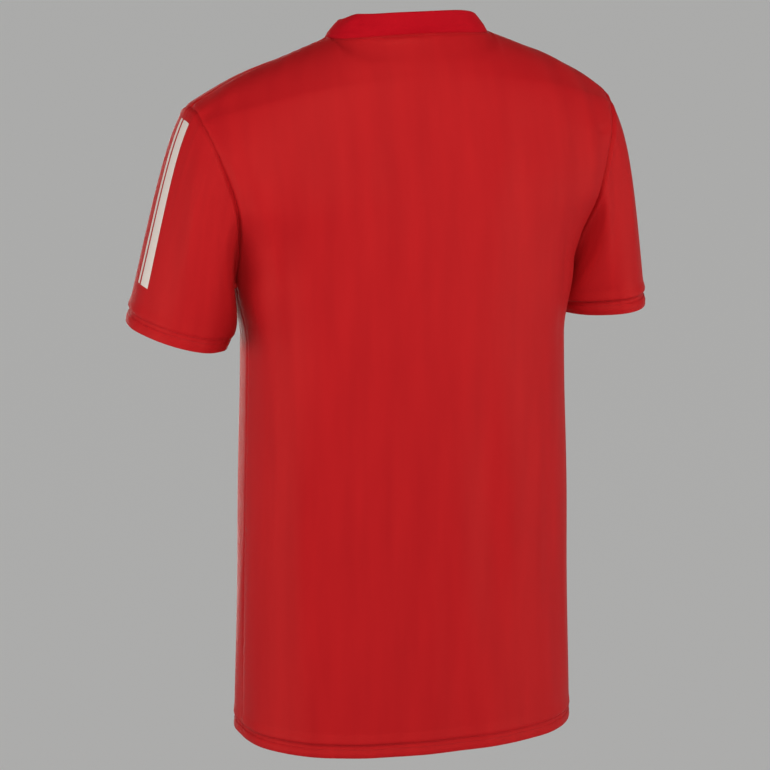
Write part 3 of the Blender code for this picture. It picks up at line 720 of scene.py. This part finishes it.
def ripples(across, up, seed):
    """Slow waves of worn knit, long down the wales."""
    flat = zip((across * RIPPLE_ACROSS).ravel().tolist(), (up * RIPPLE_UP).ravel().tolist())
    values = [noise.noise(Vector((*place, seed))) for place in flat]
    return RIPPLE_RISE * np.array(values).reshape(across.shape)


def relief(name, seed):
    """How far out each point of a piece stands from its smooth curves."""
    piece = pieces[name]
    across, up = places[name]
    to_top = up[-1:] - up
    to_side = np.minimum(across - across[:, :1], across[:, -1:] - across)
    height = ringed(piece.grid, piece.closed)[..., 2]
    behind_arm = np.exp(-(((height - ARMHOLE_DEEPEST) / ARMHOLE_SPREAD) ** 2))
    sewn_depth = np.interp(height, SIDE_BLEND, (SIDE_DEPTH, SEAM_DEPTH))
    armhole_depth = sewn_depth + (ARMHOLE_DEPTH - SEAM_DEPTH) * behind_arm
    is_sleeve = name.startswith("sleeve")
    out = tuck(to_top, armhole_depth if is_sleeve else SEAM_DEPTH) + pucker(across, to_top)
    free = power(to_top / SEAM_FREE, 1)
    if is_sleeve:
        out += roll(to_top)
    if name == "neckband":
        out += profile(BAND_PROFILE, up)
    else:
        out += tuck(to_side, armhole_depth) + pucker(up, to_side)
        from_groove = up - (CUFF_GROOVE if piece.closed else HEM_GROOVE)
        uneven = 1 + HEM_UNEVEN[0] * np.sin(across * HEM_UNEVEN[1] + seed * np.pi)
        out += profile(HEM_PROFILE, from_groove) * uneven
        out += pucker(across + HEM_SHIFT * seed, from_groove)
        free = free * power(to_side / SEAM_FREE, 1)
        out += free * ripples(across, up, seed)
    out = out[:, :-1] if piece.closed else out
    free = free[:, :-1] if piece.closed else free
    for crease in creases.get(name, ()):
        out = out + creased(piece.grid, normals[name], crease) * free
    return out


# %% [markdown]
# ## One wall for each piece
# Cloth has two faces. The wall goes down its outer face, round its folded edge and up its inner face in
# one sheet of quads, so that the hem, the cuffs and the neckband end in a real rounded fold. Its cut
# edges are drawn back by half a seam gap, and the knit's coordinates go with it as a UV map in metres.

# %% Thickness and edges
BAND_SEAM_THIN = 0.003  # the neckband thins to one layer over this height, where it is sewn on
FOLD_TURNS = np.radians([25, 50, 90, 130, 155])  # places round a folded edge


def thickness_of(name):
    """The wall's thickness at each point: two layers in a turned edge, and one elsewhere."""
    up = places[name][1]
    up = up[:, :-1] if pieces[name].closed else up
    if name == "neckband":
        share = power((up[-1:] - up) / BAND_SEAM_THIN, 1)
    else:
        share = 1 - power((up - HEM_DEPTH) / HEM_STEP, 1)
    return WALL + (TURNED_WALL - WALL) * share


def draw_back(points, edge, inner):
    """Moves a cut edge half a seam gap towards the line of points inside it."""
    points[edge] += unit(points[inner] - points[edge]) * SEAM_GAP / 2


def folded_edge(outer, inner):
    """Rows of points round the fold between the first rows of the outer and the inner face."""
    middle, radius = (outer[0] + inner[0]) / 2, (outer[0] - inner[0]) / 2
    size = np.linalg.norm(radius, axis=-1, keepdims=True)
    down = unit(outer[0] - outer[1]) * size
    return np.array([middle + radius * np.cos(turn) + down * np.sin(turn) for turn in FOLD_TURNS])


# %% Build the wall
SHARP_ANGLE = 40  # degrees: a cut edge is shaded as an edge, and a fold as a curve
CLOTH_MAP = "cloth"  # the UV map, in metres of cloth


def quads(corner):
    """The four corners of every face between neighbouring rows and columns."""
    near, far = slice(None, -1), slice(1, None)
    turns = (corner[near, near], corner[near, far], corner[far, far], corner[far, near])
    return np.stack(turns, axis=-1).reshape(-1, 4)


def placed(name, data):
    """A new object in the scene, at the origin."""
    made = bpy.data.objects.new(name, data)
    bpy.context.scene.collection.objects.link(made)
    return made


def mesh_object(name, points, faces, uvs=None):
    """A closed mesh with its faces pointing outwards, shaded smooth."""
    mesh = bpy.data.meshes.new(name)
    mesh.from_pydata(points.tolist(), [], [face.tolist() for face in faces])
    if uvs is not None:
        layer = mesh.uv_layers.new(name=CLOTH_MAP)
        layer.uv.foreach_set("vector", uvs.astype(np.float32).ravel())
    work = bmesh.new()
    work.from_mesh(mesh)
    bmesh.ops.recalc_face_normals(work, faces=work.faces)
    work.to_mesh(mesh)
    work.free()
    mesh.shade_smooth()
    mesh.set_sharp_from_angle(angle=np.radians(SHARP_ANGLE))
    return placed(name, mesh)


def cloth_wall(name, outer, inner, closed, across, up):
    """The piece's wall, and its cloth map."""
    fold = folded_edge(outer, inner)
    loop = np.concatenate([outer[::-1], fold, inner])
    half = np.linalg.norm(outer[0] - inner[0], axis=-1).mean() / 2
    around = np.ones((1, across.shape[1]))
    fold_up = -half * FOLD_TURNS[:, None] * around
    loop_up = np.concatenate([up[::-1], fold_up, -half * np.pi - up])
    loop_across = np.concatenate([across[::-1], across[:1].repeat(len(fold), axis=0), across])
    rows, columns = loop.shape[:2]
    wide = columns + 1 if closed else columns
    corner = np.arange(rows * wide).reshape(rows, wide)
    vertex_of = (np.arange(rows)[:, None] * columns + np.arange(wide) % columns).ravel()
    faces = list(quads(corner)) + list(quads(corner[[-1, 0]]))
    if not closed:
        for side in (corner[:, 0], corner[:, -1]):
            count = len(outer)
            faces += list(quads(np.stack([side[:count], side[::-1][:count]])))
            faces.append(side[count - 1 : count + len(fold) + 1])
    uvs = np.stack([loop_across, loop_up], axis=-1).reshape(-1, 2)
    uvs = np.concatenate([uvs[face] for face in faces])
    return mesh_object(name, loop.reshape(-1, 3), [vertex_of[face] for face in faces], uvs)


outer_faces, inner_faces = {}, {}
for seed, (name, piece) in enumerate(pieces.items()):
    outer = piece.grid + normals[name] * relief(name, seed)[..., None]
    draw_back(outer, np.s_[-1], np.s_[-2])
    if not piece.closed:
        draw_back(outer, np.s_[:, 0], np.s_[:, 1])
        draw_back(outer, np.s_[:, -1], np.s_[:, -2])
    outer_faces[name] = outer
    inner_faces[name] = outer - normals[name] * thickness_of(name)[..., None]

# %% [markdown]
# ## The knit
# Interlock knit is rows of small loops that stack into wales, straight ribs less than a millimetre
# apart. From a step away they only soften the shine, so they are fine bump on the cloth map. The dye
# takes a little unevenly along the wales, which gives the faint long streaks that polyester jersey
# always has.

# %% Node helpers
def give(tree, socket, value):
    """Sets a socket to a value, or links it to another node's output."""
    if isinstance(value, bpy.types.NodeSocket):
        tree.links.new(value, socket)
    else:
        socket.default_value = value


def linked(tree, kind, settings=None, **sources):
    """A new node with these settings and inputs. An underscore stands for a space in a socket's name."""
    made = tree.nodes.new(kind)
    for name, value in (settings or {}).items():
        setattr(made, name, value)
    for name, source in sources.items():
        give(tree, made.inputs[name.replace("_", " ")], source)
    return made


def calculated(tree, operation, *values):
    """The result of one sum, from numbers and from other nodes' outputs."""
    made = linked(tree, "ShaderNodeMath", {"operation": operation})
    for socket, value in zip(made.inputs, values):
        give(tree, socket, value)
    return made.outputs[0]


def mixed(tree, factor, first, second):
    """A colour between two, by a factor from 0 to 1."""
    made = linked(tree, "ShaderNodeMix", {"data_type": "RGBA"}, Factor=factor)
    for socket, value in zip([s for s in made.inputs if s.type == "RGBA"], (first, second)):
        give(tree, socket, value)
    return next(s for s in made.outputs if s.type == "RGBA")


def new_material(name, **values):
    """A material, its tree and its shader, with these values on the shader's own sockets."""
    material = bpy.data.materials.new(name)
    material.use_nodes = True
    shader = material.node_tree.nodes["Principled BSDF"]
    for label, value in values.items():
        shader.inputs[label.replace("_", " ")].default_value = value
    return material, material.node_tree, shader


def finish_surface(tree, shader, colour, height, strength, distance):
    """Links a colour to the shader, and a height as fine bump."""
    tree.links.new(colour, shader.inputs["Base Color"])
    bump = linked(tree, "ShaderNodeBump", Height=height, Strength=strength, Distance=distance)
    tree.links.new(bump.outputs["Normal"], shader.inputs["Normal"])


# %% Knit material
RIB_SHAPE = 0.6  # how round a wale is: 1 is a sharp ridge
LOOP_SLANT = 0.6  # how far a loop rises from the edge of its wale to the middle, in courses
LOOP_SHARE = 0.22  # height of the loops, as a share of the wale's
STREAKS = (48.0, 6.0, 1.0)  # streaks of dye to the metre, across and along the wales


def knit_material(name, light, deep, wale, course, relief_height, roughness, gloss):
    """Knitted polyester: stacked loops as bump, and a dye that is uneven along the wales."""
    material, tree, shader = new_material(
        name,
        Roughness=roughness,
        Specular_IOR_Level=gloss,
        Specular_Tint=(1.0, 0.85, 0.60, 1.0),
        Sheen_Weight=0.10,
        Sheen_Roughness=0.45,
        Sheen_Tint=(1.0, 0.12, 0.10, 1.0),
    )
    cloth = linked(tree, "ShaderNodeUVMap", {"uv_map": CLOTH_MAP}).outputs["UV"]
    parts = linked(tree, "ShaderNodeSeparateXYZ", Vector=cloth).outputs

    rib = calculated(tree, "DIVIDE", calculated(tree, "PINGPONG", parts["X"], wale / 2), wale / 2)
    slanted = calculated(tree, "MULTIPLY_ADD", rib, course * LOOP_SLANT, parts["Y"])
    loops = calculated(tree, "SINE", calculated(tree, "MULTIPLY", slanted, 2 * np.pi / course))
    rounded = calculated(tree, "POWER", rib, RIB_SHAPE)
    height = calculated(tree, "MULTIPLY_ADD", loops, LOOP_SHARE, rounded)

    stretched = linked(tree, "ShaderNodeMapping", Vector=cloth, Scale=STREAKS).outputs["Vector"]
    streaks = linked(tree, "ShaderNodeTexNoise", Vector=stretched, Scale=1.0, Detail=4.0).outputs["Fac"]
    spread = linked(tree, "ShaderNodeMapRange", Value=streaks, From_Min=0.3, From_Max=0.7)
    dye = mixed(tree, spread.outputs["Result"], deep, light)
    finish_surface(tree, shader, dye, height, 0.45, relief_height)
    return material


# The jersey's red carries more green and blue than the neckband's: partly the knit's own colour, partly a
# painted sheen that stands in for the soft gloss of the cloth facing the lamps.
jersey_knit = knit_material(
    "jersey_knit",
    light=(0.472, 0.0112, 0.0150, 1),
    deep=(0.418, 0.0092, 0.0132, 1),
    wale=0.0008,
    course=0.0007,
    relief_height=0.00014,
    roughness=0.45,
    gloss=0.06,
)
# The neckband's deeper red has little of that painted sheen.
neckband_knit = knit_material(
    "neckband_knit",
    light=(0.440, 0.0048, 0.0130, 1),
    deep=(0.415, 0.0042, 0.0120, 1),
    wale=0.0013,
    course=0.0008,
    relief_height=0.00022,
    roughness=0.60,
    gloss=0.02,
)

# %% Make the five pieces
cloths = {}
for name, piece in pieces.items():
    outer, inner = outer_faces[name], inner_faces[name]
    cloths[name] = cloth_wall(name + "_cloth", outer, inner, piece.closed, *places[name])
    cloths[name].data.materials.append(neckband_knit if name == "neckband" else jersey_knit)
    print(name, "faces:", len(cloths[name].data.polygons))

# %% [markdown]
# ## Seam allowances
# Turned inside out, a jersey shows its overlocked allowances: 6 mm strips of both layers, trimmed,
# pressed to one side and held by looped thread. They close each seam from within. Each strip follows
# the inner face of the piece that it is pressed against, and reaches a little way past the seam.

# %% Strips along the seams
STRIP_GAP = 0.00015  # between a strip and the wall that it lies on
STRIP_THICK = 0.0007
STRIP_PAST = 0.0012  # how far a strip reaches past its seam
STRIP_LINES = 6  # lines of points from a seam inwards
UNDERARM_FREE = 6  # columns each side of the armpit, whose sharp fold leaves no room for the allowance


def allowance(lines, facing):
    """A strip's two faces from lines of a piece's inner face, the seam's own line first."""
    past = lines[0] + unit(lines[0] - lines[1]) * STRIP_PAST
    lines = np.concatenate([past[None], lines])
    facing = np.concatenate([facing[:1], facing])
    upper = lines - facing * STRIP_GAP
    return upper, upper - facing * STRIP_THICK


def strip_mesh(name, strips):
    """One mesh of thin strips, each from its two faces."""
    points, faces, first = [], [], 0
    for upper, lower in strips:
        loop = np.concatenate([upper, lower[::-1]])
        rows, columns = loop.shape[:2]
        corner = first + np.arange(rows * columns).reshape(rows, columns)
        half = len(upper)
        for side in (corner[:, 0], corner[:, -1]):
            faces += list(quads(np.stack([side[:half], side[::-1][:half]])))
        faces += list(quads(np.concatenate([corner, corner[:1]])))
        points.append(loop.reshape(-1, 3))
        first += rows * columns
    return mesh_object(name, np.concatenate(points), faces)


def inner_lines(name, rows, columns):
    """Lines of a piece's inner face and their directions, the seam's own line first."""
    return inner_faces[name][rows, columns], normals[name][rows, columns]


whole = slice(None)
top_lines = slice(-1, -STRIP_LINES - 1, -1)
middle = back.shape[1] // 2
neck_columns = slice(middle - CENTRE_COLUMNS, middle + CENTRE_COLUMNS + 1)
below_armhole = slice(len(FOLD_TURNS), armhole_row - 1)
past_underarm = slice(UNDERARM_FREE, -UNDERARM_FREE)
along_top = {
    "back": whole,
    "front": neck_columns,
    "sleeve_left": past_underarm,
    "sleeve_right": past_underarm,
}
strips = {
    name: [allowance(*inner_lines(name, top_lines, columns))] for name, columns in along_top.items()
}
for columns in (slice(0, STRIP_LINES), slice(-1, -STRIP_LINES - 1, -1)):
    lines, facing = inner_lines("back", below_armhole, columns)
    strips["back"].append(allowance(lines.transpose(1, 0, 2), facing.transpose(1, 0, 2)))
allowances = {}
for name, parts in strips.items():
    allowances[name] = strip_mesh(name + "_seam_allowance", parts)
    allowances[name].data.materials.append(jersey_knit)
    print(name, "seam allowances:", len(parts), "strips")

# %% [markdown]
# ## Stitches
# A stitch is a short arch of thread that dips into the cloth at both ends. Hundreds of them follow the
# hem, the cuffs and the neck, so Geometry Nodes lay one arch at even steps along a line on the cloth,
# turn it to the line and to the cloth's outward direction, and join them all into a plain mesh.

# %% Thread material
# Painted shadow: the thread is painted darker in the grooves between its plies, where shade falls.
PAINTED_PLY_SHADOW = 0.7  # how dark the thread is between its plies


def thread_material(name, colour):
    """Twisted polyester thread: a satin gloss broken by its plies, with painted shadow between them."""
    material, tree, shader = new_material(name, Roughness=0.45, Specular_IOR_Level=0.12)
    place = tree.nodes.new("ShaderNodeTexCoord").outputs["Object"]
    diagonal = {"bands_direction": "DIAGONAL"}
    plies = linked(tree, "ShaderNodeTexWave", diagonal, Vector=place, Scale=420.0, Distortion=1.5)
    # the painted shadow colour of the grooves between the plies
    dark = (*[value * PAINTED_PLY_SHADOW for value in colour], 1)
    shade = mixed(tree, plies.outputs["Fac"], dark, (*colour, 1))
    finish_surface(tree, shader, shade, plies.outputs["Fac"], 0.5, 0.00008)
    return material


thread = thread_material("thread", (0.52, 0.016, 0.022))

# %% Geometry Nodes tree that lays stitches along a line
FACING = "facing"  # the attribute that holds the cloth's outward direction
ARCH_STEPS = 4  # along a stitch
ROUND_THREAD = 6  # sides of a stitch
STITCH_SIZES = ("Spacing", "Length", "Thickness", "Rise", "Slant")


def stitch_tree():
    """Lays one arch of thread at even steps along a line, turned to the line and to the cloth."""
    tree = bpy.data.node_groups.new("stitches_along_a_line", "GeometryNodeTree")
    tree.interface.new_socket("Line", in_out="INPUT", socket_type="NodeSocketGeometry")
    for size in STITCH_SIZES:
        tree.interface.new_socket(size, in_out="INPUT", socket_type="NodeSocketFloat")
    tree.interface.new_socket("Thread", in_out="INPUT", socket_type="NodeSocketMaterial")
    tree.interface.new_socket("Stitches", in_out="OUTPUT", socket_type="NodeSocketGeometry")
    given = tree.nodes.new("NodeGroupInput").outputs

    def add(kind, settings=None, **sources):
        return linked(tree, kind, settings, **sources).outputs[0]

    line = add("GeometryNodeMeshToCurve", Mesh=given["Line"])
    evenly = add("GeometryNodeResampleCurve", {"mode": "LENGTH"}, Curve=line, Length=given["Spacing"])

    half = calculated(tree, "MULTIPLY", given["Length"], 0.5)
    start = add("ShaderNodeCombineXYZ", X=calculated(tree, "MULTIPLY", half, -1.0))
    bend = add("ShaderNodeCombineXYZ", Z=calculated(tree, "MULTIPLY", given["Rise"], 2.0))
    end = add("ShaderNodeCombineXYZ", X=half)
    bezier = "GeometryNodeCurveQuadraticBezier"
    arch = add(bezier, Start=start, Middle=bend, End=end, Resolution=ARCH_STEPS)
    radius = calculated(tree, "MULTIPLY", given["Thickness"], 0.5)
    ring = add("GeometryNodeCurvePrimitiveCircle", Resolution=ROUND_THREAD, Radius=radius)
    stitch = add("GeometryNodeCurveToMesh", Curve=arch, Profile_Curve=ring, Fill_Caps=True)

    tangent = add("GeometryNodeInputTangent")
    facing = add("GeometryNodeInputNamedAttribute", {"data_type": "FLOAT_VECTOR"}, Name=FACING)
    align = "FunctionNodeAlignRotationToVector"
    to_line = add(align, {"axis": "X"}, Vector=tangent)
    to_cloth = add(align, {"axis": "Z", "pivot_axis": "X"}, Rotation=to_line, Vector=facing)
    slant = add("FunctionNodeAxisAngleToRotation", Axis=(0.0, 0.0, 1.0), Angle=given["Slant"])
    local = {"rotation_space": "LOCAL"}
    slanted = add("FunctionNodeRotateRotation", local, Rotation=to_cloth, Rotate_By=slant)
    laid = add("GeometryNodeInstanceOnPoints", Points=evenly, Instance=stitch, Rotation=slanted)
    joined = add("GeometryNodeRealizeInstances", Geometry=laid)
    sewn = add("GeometryNodeSetMaterial", Geometry=joined, Material=given["Thread"])
    tree.links.new(sewn, tree.nodes.new("NodeGroupOutput").inputs[0])
    return tree


stitches_along = stitch_tree()
inputs_by_name = {
    item.name: item.identifier for item in stitches_along.interface.items_tree if item.in_out == "INPUT"
}

# %% Lay one row of stitches
Line = namedtuple("Line", "points facing closed")
Stitch = namedtuple("Stitch", "spacing length thickness rise slant")


def line_object(name, lines):
    """Plain edges along the lines, each point with the cloth's outward direction."""
    points, edges, facing = [], [], []
    for line in lines:
        first, count = len(points), len(line.points)
        points += line.points.tolist()
        facing += line.facing.tolist()
        edges += [(first + number, first + number + 1) for number in range(count - 1)]
        if line.closed:
            edges.append((first + count - 1, first))
    mesh = bpy.data.meshes.new(name)
    mesh.from_pydata(points, edges, [])
    layer = mesh.attributes.new(FACING, "FLOAT_VECTOR", "POINT")
    layer.data.foreach_set("vector", np.array(facing, np.float32).ravel())
    return placed(name, mesh)


def sew(name, rows):
    """One mesh of stitches from rows of (lines, stitch)."""
    meshes = []
    for lines, stitch in rows:
        path = line_object(name + "_line", lines)
        modifier = path.modifiers.new("stitches", "NODES")
        modifier.node_group = stitches_along
        for size, value in zip(STITCH_SIZES, stitch):
            modifier[inputs_by_name[size]] = value
        modifier[inputs_by_name["Thread"]] = thread
        ready = path.evaluated_get(bpy.context.evaluated_depsgraph_get())
        meshes.append(bpy.data.meshes.new_from_object(ready))
        path.modifiers.clear()
        bpy.data.objects.remove(path, do_unlink=True)
    work = bmesh.new()
    for mesh in meshes:
        work.from_mesh(mesh)
        bpy.data.meshes.remove(mesh)
    mesh = bpy.data.meshes.new(name)
    work.to_mesh(mesh)
    work.free()
    mesh.materials.append(thread)
    mesh.shade_smooth()
    print(name, "triangles:", sum(len(face.vertices) - 2 for face in mesh.polygons))
    return placed(name, mesh)


# %% Sew the hem, the cuffs and the neck
COVERSTITCH = Stitch(0.0031, 0.0025, 0.00042, 0.00022, 0.0)
TOPSTITCH = Stitch(0.0029, 0.0024, 0.00036, 0.00018, 0.0)
LOOPER = Stitch(0.0026, 0.0068, 0.00036, 0.00022, 0.95)
LOOPER_BACK = LOOPER._replace(slant=-0.95)
OVERLOCK = Stitch(0.0024, 0.0046, 0.00034, 0.00022, 1.2)
THREAD_LIFT = 0.00010  # how high a stitch's ends lie over the cloth
COVERSTITCH_ROWS = (0.0022, -0.0022)  # the two rows of the coverstitch, up and down from the groove
RAW_EDGE = 0.0175  # where the turned-up cloth ends inside
LOOPER_BELOW = 0.002  # how far under that edge the looper's thread runs
TOPSTITCH_ROW = -3  # row of a panel's points that the topstitch under the neckband follows
OVERLOCK_LINE = -2  # line of a strip that its thread follows: the one before its cut edge


def level_line(name, faces, height, outwards):
    """A line round a piece at one height above its folded edge, on its outer or its inner face."""
    row = (height - EDGE_ROUND) / EDGE_STEP
    low = int(row)
    share = row - low
    points = faces[name][low] * (1 - share) + faces[name][low + 1] * share
    facing = normals[name][low] * outwards
    return Line(points + facing * THREAD_LIFT, facing, pieces[name].closed)


def neck_line(name):
    """A line on a panel's outer face, just under the neckband."""
    facing = normals[name][TOPSTITCH_ROW, neck_columns]
    return Line(outer_faces[name][TOPSTITCH_ROW, neck_columns] + facing * THREAD_LIFT, facing, False)


stitches = {}
for name in ("back", "front", "sleeve_left", "sleeve_right"):
    groove = CUFF_GROOVE if pieces[name].closed else HEM_GROOVE
    outside = [level_line(name, outer_faces, groove + row, 1) for row in COVERSTITCH_ROWS]
    inside = [level_line(name, inner_faces, RAW_EDGE - LOOPER_BELOW, -1)]
    rows = [(outside, COVERSTITCH), (inside, LOOPER), (inside, LOOPER_BACK)]
    if name in ("back", "front"):
        rows.append(([neck_line(name)], TOPSTITCH))
    stitches[name] = sew(name + "_stitches", rows)

# %% Overlock the seam allowances
overlocked = {}
for name, parts in strips.items():
    lines = []
    for upper, lower in parts:
        facing = unit(lower[OVERLOCK_LINE] - upper[OVERLOCK_LINE])
        lines.append(Line(lower[OVERLOCK_LINE] + facing * THREAD_LIFT, facing, False))
    overlocked[name] = sew(name + "_overlock", [(lines, OVERLOCK)])

# %% [markdown]
# ## Sleeve trim
# A plain white trim runs down the outside of each sleeve: a broad stripe and a narrow one beside it. It
# is a thin film that is pressed on, so it follows every fold of the cloth a quarter of a millimetre
# above it.

# %% Stripes on the sleeves
Stripe = namedtuple("Stripe", "across_from across_to")
TRIM_STRIPES = (Stripe(-0.0235, -0.0075), Stripe(-0.0030, 0.0020))
TRIM_LOW = 0.046  # height of the trim's lower end above the cuff's edge
TRIM_BELOW_SEAM = 0.014  # how far under the armhole it begins
TRIM_STEP = 0.0025  # between the trim's points
TRIM_THICK = 0.00018
TRIM_LIFT = 0.00022  # how far the film's underside lies over the cloth


def on_sleeve(name, across_at, up_at):
    """Points and outward directions at places on the sleeve's cloth."""
    across, up = places[name]
    faces = np.concatenate([ringed(outer_faces[name], True), ringed(normals[name], True)], axis=-1)
    top = pieces[name].middle
    rows = np.interp(up_at, up[:, top], np.arange(len(up)))
    low = np.minimum(rows.astype(int), len(up) - 2)
    share = (rows - low)[:, None, None]
    lines = faces[low] * (1 - share) + faces[low + 1] * share
    across_lines = across[low] * (1 - share[..., 0]) + across[low + 1] * share[..., 0]
    found = np.array(
        [
            [np.interp(across_at, measured, line[:, axis]) for axis in range(6)]
            for measured, line in zip(across_lines, lines)
        ]
    ).transpose(0, 2, 1)
    return found[..., :3], unit(found[..., 3:])


def trim(name):
    """The stripes of one sleeve."""
    stripes = []
    top = places[name][1][-1, pieces[name].middle] - TRIM_BELOW_SEAM
    up_at = np.linspace(TRIM_LOW, top, int((top - TRIM_LOW) / TRIM_STEP))
    for stripe in TRIM_STRIPES:
        count = 2 + int((stripe.across_to - stripe.across_from) / TRIM_STEP)
        across_at = np.linspace(stripe.across_from, stripe.across_to, count)
        points, facing = on_sleeve(name, across_at, up_at)
        points, facing = points.transpose(1, 0, 2), facing.transpose(1, 0, 2)
        lower = points + facing * TRIM_LIFT
        stripes.append((lower + facing * TRIM_THICK, lower))
    return strip_mesh(name + "_trim", stripes)


# %% Trim material
# Painted shadow: the film is painted darker where its grain is deepest, where shade falls.
PAINTED_GRAIN_SHADOW = 0.9  # how dark the film is where the grain is deepest


def trim_material(name, colour):
    """Matt white transfer film with the knit's grain showing faintly through it, and painted shadow in
    its hollows.
    """
    material, tree, shader = new_material(name, Roughness=0.6, Specular_IOR_Level=0.3)
    place = tree.nodes.new("ShaderNodeTexCoord").outputs["Object"]
    grain = linked(tree, "ShaderNodeTexNoise", Vector=place, Scale=900.0, Detail=2.0).outputs["Fac"]
    hollow_shadow_colour = (*[value * PAINTED_GRAIN_SHADOW for value in colour], 1)
    finish_surface(tree, shader, mixed(tree, grain, hollow_shadow_colour, (*colour, 1)), grain, 0.3, 0.0001)
    return material


white_film = trim_material("trim", (0.75, 0.70, 0.67))
trims = {}
for name in ("sleeve_left", "sleeve_right"):
    trims[name] = trim(name)
    trims[name].data.materials.append(white_film)
    print(name, "trim faces:", len(trims[name].data.polygons))

# %% [markdown]
# ## Pieces on the jersey's body
# Each cloth piece stands for its solid, which is hidden, and moves with the jersey's one body. The sewing
# and trim on it go with it.

Cut = namedtuple("Cut", "width length area")
SLOTS = ((allowances, "jersey_knit"), (stitches, "thread"), (overlocked, "thread"), (trims, "trim"))
for name, piece in cloths.items():
    extras = [group[name] for group, slot in SLOTS if name in group]
    for extra in extras:
        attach(extra, "root")
    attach(piece, "root")
    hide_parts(name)

# %% [markdown]
# ## Studio
# A plain pale floor and broad square lamps. The key lamp is above the camera and a weaker fill is below
# it. A lamp on each side models the folds, one lights the front for the views from there, and a faint
# one lights the shoulders. These lamps leave the floor out. The floor has a light of its own and throws
# none back, so that it can be pale without washing the jersey out from below.

# %% Floor with its own light
FLOOR_Z = -1.45
FLOOR_SIZE = 200  # so wide that its edge is never seen


def floor():
    """A plain floor, lit by a sun that lights nothing else."""
    bpy.ops.mesh.primitive_plane_add(size=FLOOR_SIZE, location=(0, 0, FLOOR_Z))
    made = bpy.context.object
    made.name = "floor"
    material, _, _ = new_material("pale_floor", Base_Color=(0.82, 0.82, 0.81, 1), Roughness=0.9)
    made.data.materials.append(material)
    made.visible_diffuse = made.visible_glossy = False
    light = bpy.data.lights.new("floor_light", "SUN")
    light.energy, light.angle = 1.5, 0.5
    only_floor = bpy.data.collections.new("lit_by_floor_light")
    only_floor.objects.link(made)
    placed("floor_light", light).light_linking.receiver_collection = only_floor
    return made


# %% Surroundings
SKY_BELOW, SKY_ABOVE = 0.36, 0.02  # strength of the surroundings, below the horizon and high above it
SKY_FADE = (-0.2, 0.4)  # Z of a direction where the first begins to fade, and where the second is reached


def studio_world():
    """Surroundings that are pale below and dark above, so that the shoulders keep their deep colour."""
    world = bpy.data.worlds.new("studio")
    world.use_nodes = True
    tree = world.node_tree
    background = tree.nodes["Background"]
    background.inputs["Color"].default_value = (1.0, 0.98, 0.95, 1)
    direction = tree.nodes.new("ShaderNodeTexCoord").outputs["Generated"]
    rise = linked(tree, "ShaderNodeSeparateXYZ", Vector=direction).outputs["Z"]
    start, end = SKY_FADE
    fade = linked(
        tree,
        "ShaderNodeMapRange",
        Value=rise,
        From_Min=start,
        From_Max=end,
        To_Min=SKY_BELOW,
        To_Max=SKY_ABOVE,
    )
    tree.links.new(fade.outputs["Result"], background.inputs["Strength"])
    bpy.context.scene.world = world


studio_world()
pale_floor = floor()

# %% Lamps
Lamp = namedtuple("Lamp", "name azimuth elevation distance size watts colour target")
WARM = (1.0, 0.93, 0.86)
COOL = (0.92, 0.95, 1.0)
LAMPS = (
    Lamp("key", 18, 30, 2.1, 1.4, 25, WARM, (0.017, 0.0, -0.15)),
    Lamp("fill", 14, 4, 3.2, 1.8, 15, WARM, (0.017, 0.0, -0.25)),
    Lamp("left_side", 84, -4, 2.8, 1.8, 38, WARM, (0.0, 0.0, -0.30)),
    Lamp("above", 20, 78, 2.4, 1.4, 5, COOL, (0.0, 0.0, -0.10)),
    Lamp("right_side", -52, 0, 2.8, 1.8, 39, WARM, (0.0, 0.0, -0.25)),
    Lamp("front", 190, -6, 3.0, 1.8, 40, WARM, (0.0, 0.0, -0.25)),
)
all_but_floor = bpy.data.collections.new("all_but_floor")
all_but_floor.objects.link(pale_floor)
all_but_floor.collection_objects[0].light_linking.link_state = "EXCLUDE"


def aim(made, azimuth, elevation, distance, target):
    """Puts an object at a distance from a target and turns it there. Azimuth 0 is behind the jersey."""
    turn, rise = np.radians(azimuth), np.radians(elevation)
    away = Vector((np.sin(turn) * np.cos(rise), np.cos(turn) * np.cos(rise), np.sin(rise)))
    made.location = Vector(target) + away * distance
    made.rotation_euler = away.to_track_quat("Z", "Y").to_euler()


for lamp in LAMPS:
    light = bpy.data.lights.new(lamp.name, "AREA")
    light.shape, light.size = "SQUARE", lamp.size
    light.energy, light.color = lamp.watts, lamp.colour
    made = placed(lamp.name, light)
    made.light_linking.receiver_collection = all_but_floor
    aim(made, lamp.azimuth, lamp.elevation, lamp.distance, lamp.target)
print("lamps:", ", ".join(lamp.name for lamp in LAMPS))

# %% Camera
CAMERA_TARGET = (0.0170, -0.0061, -0.3629)
CAMERA_TURN = 19.8  # degrees round from straight behind, towards the wearer's left
CAMERA_RISE = 12.35
CAMERA_DISTANCE = 3.96
LENS = 180.6  # millimetres
SENSOR = 36.0

camera = bpy.data.cameras.new("camera")
camera.lens, camera.sensor_width = LENS, SENSOR
view = placed("camera", camera)
aim(view, CAMERA_TURN, CAMERA_RISE, CAMERA_DISTANCE, CAMERA_TARGET)
bpy.context.scene.camera = view
bpy.context.scene.view_settings.view_transform = "Standard"
